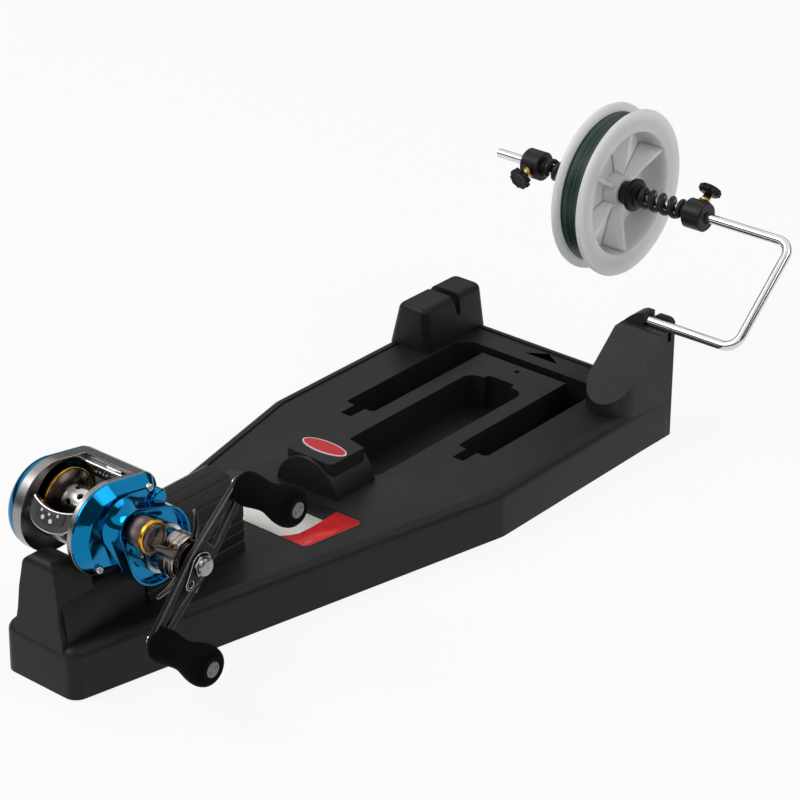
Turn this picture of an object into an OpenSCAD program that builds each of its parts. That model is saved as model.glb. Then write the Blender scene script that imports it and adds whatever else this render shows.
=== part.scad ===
// Bench-top fishing line winder: moulded base, reel in its seat, wire arm with a sprung supply spool.
// Origin: centre of the base's underside. X runs to the right post, Y from the reel to the spool, Z up.

/* [Base] */
// Length of the base, front to back
base_l = 430; // [415:1:450]
// Width of the base between its straight sides
base_w = 172.4; // [168:0.2:180]
// Width across the rounded front corners
base_front_w = 53.6; // [50:0.2:60]
// Distance from the back edge to the end of the taper
taper_from_back = 159.1; // [150:0.1:170]
// Plan radius where the taper meets the straight side
taper_r = 20; // [12:1:30]
// Plan radius of the base's four corners
corner_r = 8; // [7:0.5:10]
// Height of the rim above the underside
rim_h = 29.3; // [28:0.1:31]
// Radius of the shoulder between the side and the rim
shoulder_r = 6; // [3:0.5:7]
// Width of the narrow rim round the deck
rim_w = 0.5; // [0.3:0.1:0.8]
// How far the deck lies below the rim
deck_drop = 1; // [0.5:0.1:1.5]
// Draft of the moulded side, bottom to shoulder
side_draft = 0.5; // [0.2:0.1:1]
// Height of the storage channels' floor
floor_h = 7; // [4:0.5:12]

/* [Storage channels] */
// Width of each side channel
side_channel_w = 21; // [16:0.5:24]
// Gap between the two side channels
side_channel_gap = 63; // [60:0.5:68]
// Distance from the back edge to the front end of the side channels
side_channel_front = 135; // [128:0.5:140]
// Distance from the back edge to the front edge of the cross channel
cross_channel_front = 33.5; // [32:0.5:38]
// Width of the cross channel
cross_channel_w = 8; // [6:0.5:9]
// Width of the notch at the front of each side channel
notch_w = 7.9; // [6:0.1:10]
// Length of that notch
notch_l = 12.5; // [8:0.5:16]
// Width of the centre channel
centre_channel_w = 41; // [36:0.5:44]
// Distance from the back edge to the front end of the centre channel
centre_channel_front = 195; // [190:0.5:198]
// Distance from the back edge to the back end of the centre channel
centre_channel_back = 59; // [56:0.5:64]
// Corner radius of the channels
channel_r = 3; // [2:0.5:4]

/* [Dome and label] */
// Radius of the dome's arch
dome_r = 22.3; // [20:0.1:24]
// Height of the dome's centre line
dome_axis_h = 25.5; // [24:0.5:27]
// Distance from the back edge to the dome's front face
dome_from_back = 228; // [225:0.5:230]
// Length of the dome
dome_l = 33; // [30:0.5:36]
// Height of the pad on top of the dome
pad_h = 48.2; // [47.9:0.1:50]
// Width of the pad
pad_w = 34.2; // [32:0.2:36]
// Distance from the back edge to the label's back edge
label_from_back = 235.3; // [233:0.1:238]
// Length of the label, front to back
label_l = 41; // [36:0.5:42]
// Width of the label at its back edge
label_back_w = 97.6; // [90:0.2:100]
// Width of the label at its front edge
label_front_w = 86.4; // [80:0.2:90]
// Thickness of the label plate
label_t = 0.6; // [0.4:0.1:0.8]

/* [Reel seat] */
// Height of the seat hump
hump_h = 72.5; // [70:0.5:74]
// Half width of the hump where it meets the deck
hump_foot_half = 17; // [15:0.5:18]
// Radius of the hump's arch
hump_arch_r = 11; // [9:0.5:11.5]
// Half width of the rail that the clamp slides on
rail_half = 14; // [12:0.5:14.5]
// Height of the rail's top, where the reel foot rests
rail_h = 51; // [49:0.5:52]
// Outer radius of the clamp's arch
clamp_r = 18; // [17.5:0.1:18.3]
// Height of the clamp's arch centre
clamp_axis_h = 52.8; // [52:0.1:55]
// Length of the clamp
clamp_l = 72; // [68:1:76]
// Distance from the front edge of the base to the clamp
clamp_from_front = 61; // [60:0.5:63]
// Length of the clamp's low nose under the reel
nose_l = 18; // [16:0.5:20]
// Height of the nose
nose_h = 56.4; // [56:0.1:56.8]

/* [Posts] */
// Height of the left post
left_post_h = 55.4; // [50:0.2:60]
// Height of the right post's shelf
right_post_h = 70; // [68:0.5:72]
// Width of the right post
right_post_w = 29.8; // [28:0.2:31]
// Distance from the back edge to the groove of the left post
left_groove_from_back = 27; // [25:0.5:29]

/* [Wire arm] */
// Diameter of the round wire
wire_d = 5.8; // [5:0.1:6]
// Radius of the bends, to the wire's centre line
bend_r = 9; // [7:0.5:12]
// Height of the lower leg's centre line
leg_h = 72; // [71:0.5:73]
// Distance from the back edge to the lower leg
leg_from_back = 7; // [6:0.5:8]
// How far the riser stands out from the base's side
riser_out = 44.2; // [38:0.2:50]
// Length of the riser between the centre lines
riser_l = 72; // [66:0.5:80]
// Lean of the riser away from upright, in degrees
arm_lean = 49.2; // [40:0.2:55]
// Length of the upper leg from the riser's centre line
upper_leg_l = 215; // [205:1:225]
// Length of the lower leg held in the right post
leg_seat_l = 24; // [20:0.5:26]

/* [Spindle] */
// Distance from the riser to the middle of the supply spool
spool_from_riser = 125.4; // [123:0.2:127]
// Diameter of the stop collars
collar_d = 18; // [16:0.5:19]
// Width of a stop collar
collar_w = 13.2; // [12:0.2:14]
// Distance from the spool's middle to the right collar's inner face
right_collar_reach = 52.8; // [52:0.2:56]
// Distance from the spool's middle to the left collar's inner face
left_collar_reach = 54; // [53:0.2:57]
// Diameter of the thumb screw's knurled head
thumb_d = 17.4; // [15:0.2:19]
// Outer diameter of the springs
spring_d = 13; // [12:0.1:14]
// Thickness of the spring wire
spring_wire = 2.6; // [2.2:0.1:2.8]
// Number of curls in a spring
spring_curls = 4; // [3:1:5]

/* [Supply spool] */
// Diameter of the spool's flanges
flange_d = 103; // [100:0.5:106]
// Width of the winding space
winding_w = 14.5; // [13.8:0.1:16]
// Thickness of a flange
flange_t = 3.6; // [3:0.1:4]
// Diameter of the spool's open inside, under the winding barrel
barrel_inner_d = 76; // [72:0.5:78]
// Diameter of the wound line
wound_d = 93; // [91:0.5:95]
// Number of webs inside the spool
web_count = 3; // [3:1:6]

/* [Line] */
// Thickness of the modelled strand in the outer layer
strand_d = 0.6; // [0.5:0.01:0.64]
// Number of loops in the outer layer
loop_count = 13; // [11:1:13]

/* [Reel] */
// Distance from the front edge of the base to the reel's spool axis
reel_from_front = 43; // [42.5:0.1:43.5]
// Height of the reel's spool axis
reel_axis_h = 84; // [83.9:0.1:84.5]
// How far the handle's axis lies behind the spool axis
drive_back = 17; // [16.8:0.1:17.2]
// How far the handle's axis lies below the spool axis
drive_drop = 17.5; // [17.3:0.1:17.7]
// Radius of the frame's front circle
frame_r = 25; // [24.8:0.1:25.2]
// Radius of the spool's rims
rim_r = 17; // [16.8:0.1:17.1]
// Radius of the raised housing round the handle's axis
housing_r = 21.5; // [21.4:0.1:21.7]
// Radius of the raised housing round the spool axis
housing_small_r = 10.4; // [10.4:0.1:10.6]
// Teeth of the drive gear
drive_teeth = 47; // [45:1:48]
// Teeth of the spool's pinion
pinion_teeth = 12; // [12:1:13]
// Teeth of the level-wind worm's gear
worm_teeth = 9; // [8:1:10]
// Diameter of the tension cap
cap_d = 16.5; // [16:0.1:16.8]

/* [Handle] */
// Distance from the handle's axis to a knob's axis
knob_reach = 44.3; // [42:0.1:46]
// Turn of the handle from the Y axis, in degrees
handle_turn = 44.3; // [0:0.1:90]
// Length of a knob
knob_l = 37.4; // [34:0.2:40]
// Diameter of a knob's fat outer end
knob_d = 21.5; // [20:0.1:23]
// Thickness of the handle arm
arm_t = 3.6; // [3:0.1:4]
// Number of spokes on the star wheel
star_spokes = 5; // [4:1:6]
// Reach of a spoke's tip from the axis
star_reach = 25.5; // [24:0.1:26]

/* [Hidden] */
$fn = 48;

// Shared clearances and steps
over = 1;            // overrun of every cut
play = 0.3;          // gap between pieces that only lie beside each other
fit = 0.06;          // radial gap of a shaft in its bore
slide_fit = 0.4;     // gap all round between the clamp and its rail
arc_n = 6;           // points of each rounded corner of a lofted outline

// Base, derived
front_y = -base_l / 2;
back_y = base_l / 2;
side_x = base_w / 2;
deck_h = rim_h - deck_drop;
foot_round = 0.8;
rim_edge = 0.3;
pocket_r = 1.5;
label_r = 4;
label_gap = 0.3;
badge_l = 31;
badge_w = 12;
badge_t = 0.9;
badge_sink = 0.6;
pad_front = 2;
pad_len = 27;
pad_crown = 2.6;
pad_foot_h = 36;
pad_r = 2;
foot_pad_d = 14;
foot_pad_t = 1.6;
foot_inset = 16;
front_foot_inset = 14;

// Rail, hump and clamp, derived
rail_crown_r = 8;
seat_half = 16.5;
seat_top_half = 15;
hump_lean = 3;
hump_top_l = 13;
hump_back_l = 12;
hump_back_h = 57;
hump_round = 5;
hump_shoulder_h = 63;
hump_waist_h = 40;
hump_waist_half = 14.2;
rail_end_gap = 4;
foot_half = 8.5;
foot_t = 3;
foot_front = 15;
foot_back = 87;
foot_play = 0.4;
clamp_y = front_y + clamp_from_front;
clamp_foot_gap = 0.5;
clamp_skirt = 1;
clamp_skirt_h = 5;
flute_r = 1.6;
flute_sink = 0.5;
flute_step = 24;
flute_side_h = [6, 12, 18];

// Posts, derived
post_root = 12;
left_post_foot_w = 28;
left_post_foot_l = 57;
left_post_top_w = 19.8;
left_post_top_l = 51;
left_post_in = 6;
left_post_back_in = 1.5;
post_corner_r = 5;
post_top_r = 4;
left_groove_w = 6;
left_groove_deep = 13;
left_groove_toe = 3;
right_post_l = 47;
ramp_foot_h = 36;
ramp_l = 29;
shelf_l = 8;
hood_w = 14;
hood_top = 6.6;
hood_lead = 6;
ear_top = 6.2;
ear_r = 7;
slot_w = 3.4;
slot_deep = 9.2;
slot_l = 9;
ramp_round = 2;

// Wire arm, derived
wire_r = wire_d / 2;
leg_y = back_y - leg_from_back;
riser_x = side_x + riser_out;
leg_end_x = side_x - leg_seat_l;
spool_x = riser_x - spool_from_riser;
free_end_x = riser_x - upper_leg_l;
wire_tip = 0.6;
right_post_x = side_x - right_post_w;

// Spindle, derived
neck_d = 11;
neck_l = 2.6;
screw_angles = [4, 154];
stud_d = 4;
stud_sink = 5;
thumb_reach = 16.4;
thumb_t = 6;
thumb_flutes = 12;
thumb_flute_r = 1.2;
collar_flat = 1.2;
cone_flange_d = 24;
cone_flange_t = 3;
cone_tail_d = 14;
cone_tail_l = 3;
cone_nose_l = 7;
cone_nose_d = 9;
hub_d = 20;
hub_bore_d = 14;
hub_wall_in = 1.5;
web_t = 1.6;
web_turn = 24;
spool_skin = 2;
spool_half = winding_w / 2 + flange_t;
cone_seat_x = spool_half + play;
cone_tail_x = cone_seat_x + cone_flange_t + cone_tail_l;
right_spring_l = right_collar_reach - neck_l - cone_tail_x - 2 * play;
left_spring_l = left_collar_reach - neck_l - cone_tail_x - 2 * play;
loop_rings = 24;
core_d = (wound_d - strand_d) * cos(180 / loop_rings) - strand_d - 2 * fit;

// Reel, derived. Places along X are measured from the seat's middle plane.
reel_y = front_y + reel_from_front;
reel_z = reel_axis_h;
left_ring_x = [-26, -20];
right_ring_x = [13, 16];
palm_x = [-33, -26];
cover_top_x = 22;
plate_x = [18.6, 19.8];
housing_x = 30;
recess_x = 26;
cavity_x = 24.5;
housing_wall = 1.1;
recess_wall = 1.4;
front_circle = [-6, -2, frame_r];
rear_low_circle = [22, -14, 12];
rear_high_circle = [19, 9.2, 9.6];
drive = [drive_back, -drive_drop];
gear_distance = norm(drive);
gear_unit = 2 * gear_distance / (drive_teeth + pinion_teeth);
worm_angle = 74;
worm = drive + gear_unit * (drive_teeth + worm_teeth) / 2 * [cos(worm_angle), sin(worm_angle)];
worm_pocket_r = 4.7;
worm_boss_r = 5.6;
worm_boss_x = 24.6;
gear_x = [20.2, 23.2];
tooth_tip = 0.5;
tooth_root = 0.75;
tooth_share = 0.39;
pressure_angle = 20;
belly_r = 21.2;
belly_t = 2.6;
belly_from = 165;
belly_to = 290;
stem_half = 7;
hood_t = 2.4;
hood_ahead = 3.5;
hood_low = 3.8;
spool_x_rims = [-19.4, 11.6];
rim_t = 2;
arbor_r = 9.5;
web_r = 15;
arbor_hole_r = 2;
arbor_holes = 6;
shaft_r = 2;
shaft_left = -30;
bearing_r = 5;
bearing_t = 3;
boss_r = 6.4;
cap_x = [30.6, 44];
cap_roof = 2.4;
cap_flutes = 30;
cap_flute_r = 0.35;
gold_x = [40.6, 43];
gold_out = 0.8;
worm_r = 2.5;
worm_end_r = 2;
worm_left = -23;
worm_groove_r = 0.5;
worm_groove_step = 2.4;
guide_bar_r = 1.1;
guide_bar_at = [13.5, 16];
guide_rod_r = 1.5;
guide_rod_at = [24, -14];
guide_w = 8;
guide_wall = 2.1;
eye_r = 4.2;
eye_hole_r = 2.8;
eye_t = 2.5;
eye_at = [29.2, 11];
eye_wall = 1.2;
ring_r = 13.3;
ring_t = 2;
ring_x = [26.1, 33];
ring_holes = 10;
ring_hole_r = 1.2;
drive_r = 3;
sleeve_r = 6;
washer_r = 14;
washer_t = 0.8;
star_x = [38.5, 50];
star_hub_r = 12.6;
star_step = 0.5;
spoke_t = 1.3;
spoke_root_w = 7;
spoke_tip_w = 3;
spoke_drop = 4;
star_turn = 71;
arm_x = 54;
nut_r = 5;
nut_l = 3;
nut_flange_r = 6.2;
nut_flange_t = 1.5;
gear_hole_r = 2.5;
arm_window_half = 3.2;
arm_window_r = 1;
rivet_t = 1.2;
retainer_t = 0.8;
nut_x = arm_x + arm_t + retainer_t;
retainer_eye_r = 3.4;
retainer_reach = 11.2;
arm_hub_r = 8;
arm_eye_r = 5;
arm_rib = 2.6;
spindle_r = 2.2;
knob_x = arm_x + arm_t + play;
knob_end_x = knob_x + knob_l;
knob_in_d = 18;
knob_waist_d = 15.5;
knob_bore_r = 2.26;
knob_cap_r = 4.3;
knob_cap_t = 1.2;
pin_hole_r = 0.5;
pin_hole_reach = 2.2;
screw_r = 2.2;
screw_head = 1.2;
screw_places = [[19, 12.5], [-18, -18.5]];
thumb_bar_x = [-19.7, 12.7];
thumb_bar_size = [5, 13];
thumb_bar_at = [-25.5, 5.5];
thumb_bar_lean = 29;
thumb_bar_r = 2;
thumb_pad_t = 0.8;
thumb_pad_edge = 3;
thumb_dots = [[-7, 0], [0, 0], [7, 0], [-3.5, 3], [3.5, 3]];
thumb_dot_r = 0.9;

// Outline round circles [x, y, r] that are listed anticlockwise. A smaller r with the same centres is an inset.
function tangent_angle(a, b) =
    atan2(b[1] - a[1], b[0] - a[0]) - acos((a[2] - b[2]) / norm([b[0] - a[0], b[1] - a[1]]));
function belt(circles, n = arc_n) = [for (i = [0 : len(circles) - 1])
    let (m = len(circles), c = circles[i], from = tangent_angle(circles[(i + m - 1) % m], c),
        sweep = ((tangent_angle(c, circles[(i + 1) % m]) - from) % 360 + 360) % 360)
    for (k = [0 : n]) [c[0] + c[2] * cos(from + sweep * k / n), c[1] + c[2] * sin(from + sweep * k / n)]];
function inset(circles, d) = [for (c = circles) [c[0], c[1], c[2] - d]];
function rounded_box(x0, x1, y0, y1, r) =
    [[x0 + r, y0 + r, r], [x1 - r, y0 + r, r], [x1 - r, y1 - r, r], [x0 + r, y1 - r, r]];
function arc(c, r, from, to, n = 12) =
    [for (k = [0 : n]) c + r * [cos(from + (to - from) * k / n), sin(from + (to - from) * k / n)]];
function mix(a, b, t) = a + (b - a) * t;

// Solid through a stack of rings, each listed anticlockwise as seen from the far end of the stack
module loft(rings) {
    n = len(rings[0]);
    m = len(rings);
    polyhedron(points = [for (r = rings) each r], faces = concat(
        [[for (j = [0 : n - 1]) j]],
        [for (i = [0 : m - 2], j = [0 : n - 1]) let (k = (j + 1) % n)
            each [[i * n + j, (i + 1) * n + j, (i + 1) * n + k], [i * n + j, (i + 1) * n + k, i * n + k]]],
        [[for (j = [n - 1 : -1 : 0]) (m - 1) * n + j]]));
}

// Stack of plan outlines, each given as [height, circles]
module loft_up(layers) {
    loft([for (l = layers) [for (p = belt(l[1])) [p[0], p[1], l[0]]]]);
}

// Stack of side outlines in Y and Z, each given as [x, circles]
module loft_across(layers) {
    loft([for (l = layers) [for (p = belt(l[1])) [l[0], p[0], p[1]]]]);
}

// Flat outline in Y and Z, made solid between two places along X
module across(xs) {
    translate([xs[0], 0, 0]) rotate([90, 0, 90]) linear_extrude(xs[1] - xs[0]) children();
}

// Flat outline in X and Z, made solid between two places along Y
module along(ys) {
    translate([0, ys[1], 0]) rotate([90, 0, 0]) linear_extrude(ys[1] - ys[0]) children();
}

// Half section, radius against X, turned about the X axis
module turned() {
    rotate([90, 0, 90]) rotate_extrude() children();
}

// Ring about the X axis
module ring(xs, r, bore = 0) {
    turned() translate([bore, xs[0]]) square([r - bore, xs[1] - xs[0]]);
}

// Rod along X
module rod(xs, r) {
    translate([xs[0], 0, 0]) rotate([0, 90, 0]) cylinder(r = r, h = xs[1] - xs[0]);
}

module mirrored_x() {
    children();
    mirror([1, 0, 0]) children();
}

// Base
function base_outline() = let (fx = base_front_w / 2 - corner_r, fy = front_y + corner_r,
        bx = side_x - corner_r, by = back_y - corner_r, tx = side_x - taper_r, ty = back_y - taper_from_back)
    [[-fx, fy, corner_r], [fx, fy, corner_r], [tx, ty, taper_r], [bx, by, corner_r],
        [-bx, by, corner_r], [-tx, ty, taper_r]];

module base_block() {
    outline = base_outline();
    shoulder = [for (a = [0 : 22.5 : 90])
        [rim_h - shoulder_r + shoulder_r * sin(a), inset(outline, side_draft + shoulder_r * (1 - cos(a)))]];
    inner = side_draft + shoulder_r + rim_w;
    loft_up(concat([[0, inset(outline, foot_round)], [foot_round, outline]], shoulder,
        [[rim_h, inset(outline, inner)], [deck_h, inset(outline, inner + rim_edge)]]));
}

module left_post() {
    x0 = -side_x + side_draft;
    foot = [x0, x0 + left_post_foot_w, back_y - left_post_foot_l, back_y - side_draft];
    top_x = x0 + left_post_in;
    top_y = back_y - left_post_back_in;
    top = [top_x, top_x + left_post_top_w, top_y - left_post_top_l, top_y];
    low = deck_h;
    layer = function (z, d) let (b = mix(foot, top, (z - low) / (left_post_h - low)))
        [z, inset(rounded_box(b[0], b[1], b[2], b[3], post_corner_r), d)];
    loft_up(concat([[low - post_root, rounded_box(foot[0], foot[1], foot[2], foot[3], post_corner_r)],
        layer(low, 0)], [for (a = [0 : 30 : 90])
        layer(left_post_h - post_top_r * (1 - sin(a)), post_top_r * (1 - cos(a)))]));
}

module left_groove() {
    y = back_y - left_groove_from_back;
    h = left_groove_w / 2;
    low = left_post_h - left_groove_deep;
    across([-side_x - over, -side_x + left_post_foot_w + over])
        polygon([[y + h, left_post_h + over], [y - h, left_post_h + over],
            [y + h - left_groove_toe, low], [y + h - left_groove_toe / 3, low], [y + h, low + left_groove_toe]]);
}

module right_post_plan() {
    r = right_post_w / 2;
    polygon(belt([[side_x - side_draft - r, back_y - right_post_l + r, r - side_draft],
        [side_x - side_draft - ramp_round, back_y - side_draft - ramp_round, ramp_round],
        [right_post_x + ramp_round, back_y - side_draft - ramp_round, ramp_round]], 12));
}

// Side outline of the right post: sloping face, shelf, then a top that rises by rise behind lead
function post_side(rise, lead) = let (y0 = back_y - right_post_l, y1 = y0 + ramp_l,
        y2 = y1 + shelf_l, low = deck_h - post_root)
    concat([[y0 - over, low], [back_y + over, low], [back_y + over, right_post_h + rise - ramp_round]],
        arc([back_y - ramp_round, right_post_h + rise - ramp_round], ramp_round, 0, 90, 4),
        [[y2 + lead, right_post_h + rise], [y2, right_post_h], [y1 + ramp_round, right_post_h],
            [y1 - ramp_round / 2, right_post_h - ramp_round], [y0, ramp_foot_h], [y0 - over, ramp_foot_h]]);

module right_post() {
    low = deck_h - post_root;
    hood_x = right_post_x + hood_w;
    intersection() {
        translate([0, 0, low]) linear_extrude(right_post_h + hood_top + over - low) right_post_plan();
        union() {
            across([right_post_x - over, hood_x]) polygon(post_side(hood_top, hood_lead));
            intersection() {
                across([hood_x, side_x]) polygon(post_side(ear_top, hood_lead / 2));
                along([back_y - right_post_l - over, back_y + over])
                    polygon(concat([[hood_x - over, low - over], [side_x, low - over]],
                        arc([side_x - ear_r, right_post_h + ear_top - ear_r], ear_r, 0, 90, 6),
                        [[hood_x - over, right_post_h + ear_top]]));
            }
        }
    }
}

module leg_groove() {
    r = wire_r + fit;
    translate([0, leg_y, leg_h]) {
        rod([leg_end_x - play, side_x + over], r);
        across([right_post_x + hood_w, side_x + over]) translate([-r, 0]) square([2 * r, leg_h]);
        across([side_x - slot_l, side_x + over]) translate([-slot_w / 2, -slot_deep]) square([slot_w, slot_deep]);
    }
}

module hump_and_rail() {
    low = deck_h - post_root;
    y0 = front_y + side_draft;
    hump_top_y = y0 + hump_lean + hump_top_l;
    intersection() {
        along([front_y, clamp_y - 2 * play]) polygon(concat([[-hump_foot_half, low], [hump_foot_half, low],
            [hump_foot_half, deck_h], [hump_waist_half, hump_waist_h]],
            arc([0, hump_h - hump_arch_r], hump_arch_r, 0, 180),
            [[-hump_waist_half, hump_waist_h], [-hump_foot_half, deck_h]]));
        across([-hump_foot_half, hump_foot_half]) polygon(concat([[y0, low]],
            [[clamp_y - 2 * play, low], [clamp_y - 2 * play, rail_h], [hump_top_y + hump_back_l, rail_h]],
            [[hump_top_y + hump_back_l, hump_back_h], [hump_top_y + hump_back_l / 2, hump_h - hump_round],
                [hump_top_y, hump_h]],
            arc([y0 + hump_lean + hump_round, hump_h - hump_round], hump_round, 90, 180, 5)));
    }
    along([front_y + hump_round, clamp_y - 2 * play]) polygon([[-seat_half, low], [seat_half, low],
        [seat_half, deck_h], [seat_top_half, rail_h - hump_round], [rail_half - hump_round / 2, rail_h],
        [-rail_half + hump_round / 2, rail_h], [-seat_top_half, rail_h - hump_round], [-seat_half, deck_h]]);
    along([clamp_y - over, clamp_y + clamp_l - rail_end_gap]) rail_outline(0);
}

// Rail outline in X and Z, grown by gap
module rail_outline(gap) {
    polygon(concat([[-rail_half - gap, deck_h - post_root], [rail_half + gap, deck_h - post_root]],
        arc([rail_half - rail_crown_r, rail_h - rail_crown_r], rail_crown_r + gap, 0, 90),
        arc([rail_crown_r - rail_half, rail_h - rail_crown_r], rail_crown_r + gap, 90, 180)));
}

module foot_pocket() {
    y = front_y + foot_front;
    translate([-foot_half - foot_play, y - foot_play, rail_h])
        cube([2 * (foot_half + foot_play), foot_back, foot_t + foot_play]);
}

module channels() {
    deep = rim_h;
    side_in = side_channel_gap / 2;
    arm_back = back_y - cross_channel_front;
    arm_front = back_y - side_channel_front;
    translate([0, 0, floor_h]) {
        mirrored_x() {
            linear_extrude(deep) polygon(belt(rounded_box(side_in, side_in + side_channel_w,
                arm_front, arm_back + over, channel_r)));
            linear_extrude(deep) polygon(belt(rounded_box(side_in + side_channel_w * 0.3,
                side_in + side_channel_w * 0.3 + notch_w, arm_front - notch_l, arm_front + channel_r, channel_r / 2)));
        }
        linear_extrude(deep) polygon([[-side_in - side_channel_w, arm_back], [side_in + side_channel_w, arm_back],
            [side_in + side_channel_w - cross_channel_w, arm_back + cross_channel_w],
            [-side_in - side_channel_w + cross_channel_w, arm_back + cross_channel_w]]);
        linear_extrude(deep) polygon(belt(rounded_box(-centre_channel_w / 2, centre_channel_w / 2,
            back_y - centre_channel_front, back_y - centre_channel_back, corner_r)));
        linear_extrude(deep) polygon(belt(rounded_box(-centre_channel_w / 4, centre_channel_w / 4,
            back_y - centre_channel_back - corner_r, back_y - centre_channel_back + channel_r + pocket_r,
            channel_r)));
    }
}

module deck_marks() {
    hole_d = 3.5;
    hole_from_back = 40.2;
    translate([0, back_y - hole_from_back, floor_h]) cylinder(d = hole_d, h = rim_h);
    arrow_w = 26.5;
    arrow_l = 9;
    arrow_from_back = 15.6;
    arrow_deep = 3;
    translate([0, back_y - arrow_from_back, deck_h - arrow_deep]) linear_extrude(arrow_deep + over)
        polygon([[-arrow_w / 2, 0], [arrow_w / 2, 0], [0, arrow_l]]);
}

// Plan outline of the label, grown by gap
module label_plan(gap) {
    y1 = back_y - label_from_back;
    y0 = y1 - label_l;
    w0 = label_front_w / 2 - label_r;
    w1 = label_back_w / 2 - label_r;
    polygon(belt([for (c = [[-w0, y0 + label_r], [w0, y0 + label_r], [w1, y1 - label_r], [-w1, y1 - label_r]])
        [c[0], c[1], label_r + gap]]));
}

// Plan outline of the badge, an oval of four arcs, grown by gap
module badge_plan(gap) {
    polygon([for (a = [0 : 12 : 348]) [(badge_l / 2 + gap) * cos(a), (badge_w / 2 + gap) * sin(a)]]);
}

module dome() {
    y = back_y - dome_from_back;
    low = deck_h - post_root;
    intersection() {
        translate([0, y, dome_axis_h]) rotate([-90, 0, 0]) cylinder(r = dome_r, h = dome_l, $fn = 96);
        translate([-dome_r, y, low]) cube([2 * dome_r, dome_l, 2 * dome_r]);
    }
    translate([0, y + pad_front, pad_foot_h]) linear_extrude(pad_h - pad_foot_h) polygon(concat(
        [[-pad_w / 2 + pad_r, 0], [pad_w / 2 - pad_r, 0], [pad_w / 2, pad_r], [pad_w / 2, pad_len]],
        [[pad_w / 4, pad_len + pad_crown * 0.75], [0, pad_len + pad_crown],
            [-pad_w / 4, pad_len + pad_crown * 0.75], [-pad_w / 2, pad_len], [-pad_w / 2, pad_r]]));
}

module badge_place() {
    translate([0, back_y - dome_from_back + pad_front + pad_len / 2, 0]) children();
}

module feet_places() {
    bx = side_x - foot_inset;
    for (p = [[-bx, back_y - foot_inset], [bx, back_y - foot_inset],
            [0, front_y + front_foot_inset], [-bx, back_y - taper_from_back], [bx, back_y - taper_from_back]])
        translate([p[0], p[1], 0]) children();
}

module base_shell() {
    color([0.16, 0.16, 0.165]) difference() {
        union() {
            base_block();
            left_post();
            right_post();
            hump_and_rail();
            dome();
        }
        left_groove();
        leg_groove();
        channels();
        deck_marks();
        foot_pocket();
        translate([0, 0, deck_h - label_t]) linear_extrude(deck_drop + label_t) label_plan(label_gap);
        badge_place() translate([0, 0, pad_h - badge_sink]) linear_extrude(badge_sink + over)
            badge_plan(label_gap);
        feet_places() translate([0, 0, -over]) cylinder(d = foot_pad_d + 2 * play, h = foot_pad_t + over);
    }
}

module rubber_feet() {
    color([0.06, 0.06, 0.06]) feet_places() cylinder(d = foot_pad_d, h = foot_pad_t);
}

module deck_label() {
    color([0.85, 0.84, 0.8]) translate([0, 0, deck_h - label_t]) linear_extrude(label_t) label_plan(0);
}

module pad_badge() {
    color([0.75, 0.08, 0.1]) badge_place() translate([0, 0, pad_h - badge_sink])
        linear_extrude(badge_t) badge_plan(0);
}

// Clamp
module clamp_outline() {
    low = deck_h + clamp_foot_gap;
    polygon(concat([[-clamp_r - clamp_skirt, low], [clamp_r + clamp_skirt, low],
        [clamp_r, low + clamp_skirt_h]], arc([0, clamp_axis_h], clamp_r, 0, 180, 24),
        [[-clamp_r, low + clamp_skirt_h]]));
}

module reel_clamp() {
    reach = clamp_r - flute_sink + flute_r;
    color([0.13, 0.13, 0.135]) difference() {
        along([clamp_y, clamp_y + clamp_l]) clamp_outline();
        along([clamp_y - over, clamp_y + clamp_l + over]) rail_outline(slide_fit);
        translate([-foot_half - foot_play, clamp_y - over, rail_h])
            cube([2 * (foot_half + foot_play), clamp_l + 2 * over, foot_t + foot_play]);
        translate([-2 * clamp_r, clamp_y - over, nose_h]) cube([4 * clamp_r, nose_l + over, clamp_r * 2]);
        for (a = [flute_step / 2 : flute_step : 180])
            translate([reach * cos(a), clamp_y - over, clamp_axis_h + reach * sin(a)])
                rotate([-90, 0, 0]) cylinder(r = flute_r, h = clamp_l + 2 * over);
        for (z = flute_side_h, s = [-1, 1])
            translate([s * reach, clamp_y - over, deck_h + z])
                rotate([-90, 0, 0]) cylinder(r = flute_r, h = clamp_l + 2 * over);
    }
}

// Wire arm
module arm_place() {
    translate([0, leg_y, leg_h]) rotate([-arm_lean, 0, 0]) children();
}

// Axis of the spool, with X measured from the middle of the supply spool
module spindle_place() {
    arm_place() translate([spool_x, 0, riser_l]) children();
}

module wire_bend(turn) {
    rotate([90, turn, 0]) rotate_extrude(angle = 90) translate([bend_r, 0]) circle(r = wire_r, $fn = 32);
}

module wire_arm() {
    color([0.8, 0.81, 0.83]) arm_place() {
        rod([leg_end_x, riser_x - bend_r], wire_r);
        translate([riser_x - bend_r, 0, bend_r]) wire_bend(90);
        translate([riser_x, 0, bend_r]) cylinder(r = wire_r, h = riser_l - 2 * bend_r);
        translate([riser_x - bend_r, 0, riser_l - bend_r]) wire_bend(0);
        translate([0, 0, riser_l]) {
            rod([free_end_x + wire_tip, riser_x - bend_r], wire_r);
            translate([free_end_x, 0, 0]) rotate([0, 90, 0])
                cylinder(r1 = wire_r - wire_tip, r2 = wire_r, h = wire_tip);
        }
    }
}

// Stop collar whose inner face is at X = 0 and which reaches to X = collar_w
module collar(angle) {
    difference() {
        union() {
            ring([0, collar_w], collar_d / 2);
            ring([-neck_l, 0], neck_d / 2);
        }
        ring([-neck_l - over, collar_w + over], wire_r + fit);
        translate([collar_w / 2, 0, 0]) rotate([angle, 0, 0]) {
            translate([0, 0, wire_r + fit - over]) cylinder(d = stud_d + 2 * fit, h = collar_d);
            translate([-collar_w, -collar_d / 2, collar_d / 2 - collar_flat])
                cube([2 * collar_w, collar_d, collar_d]);
        }
    }
}

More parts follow.
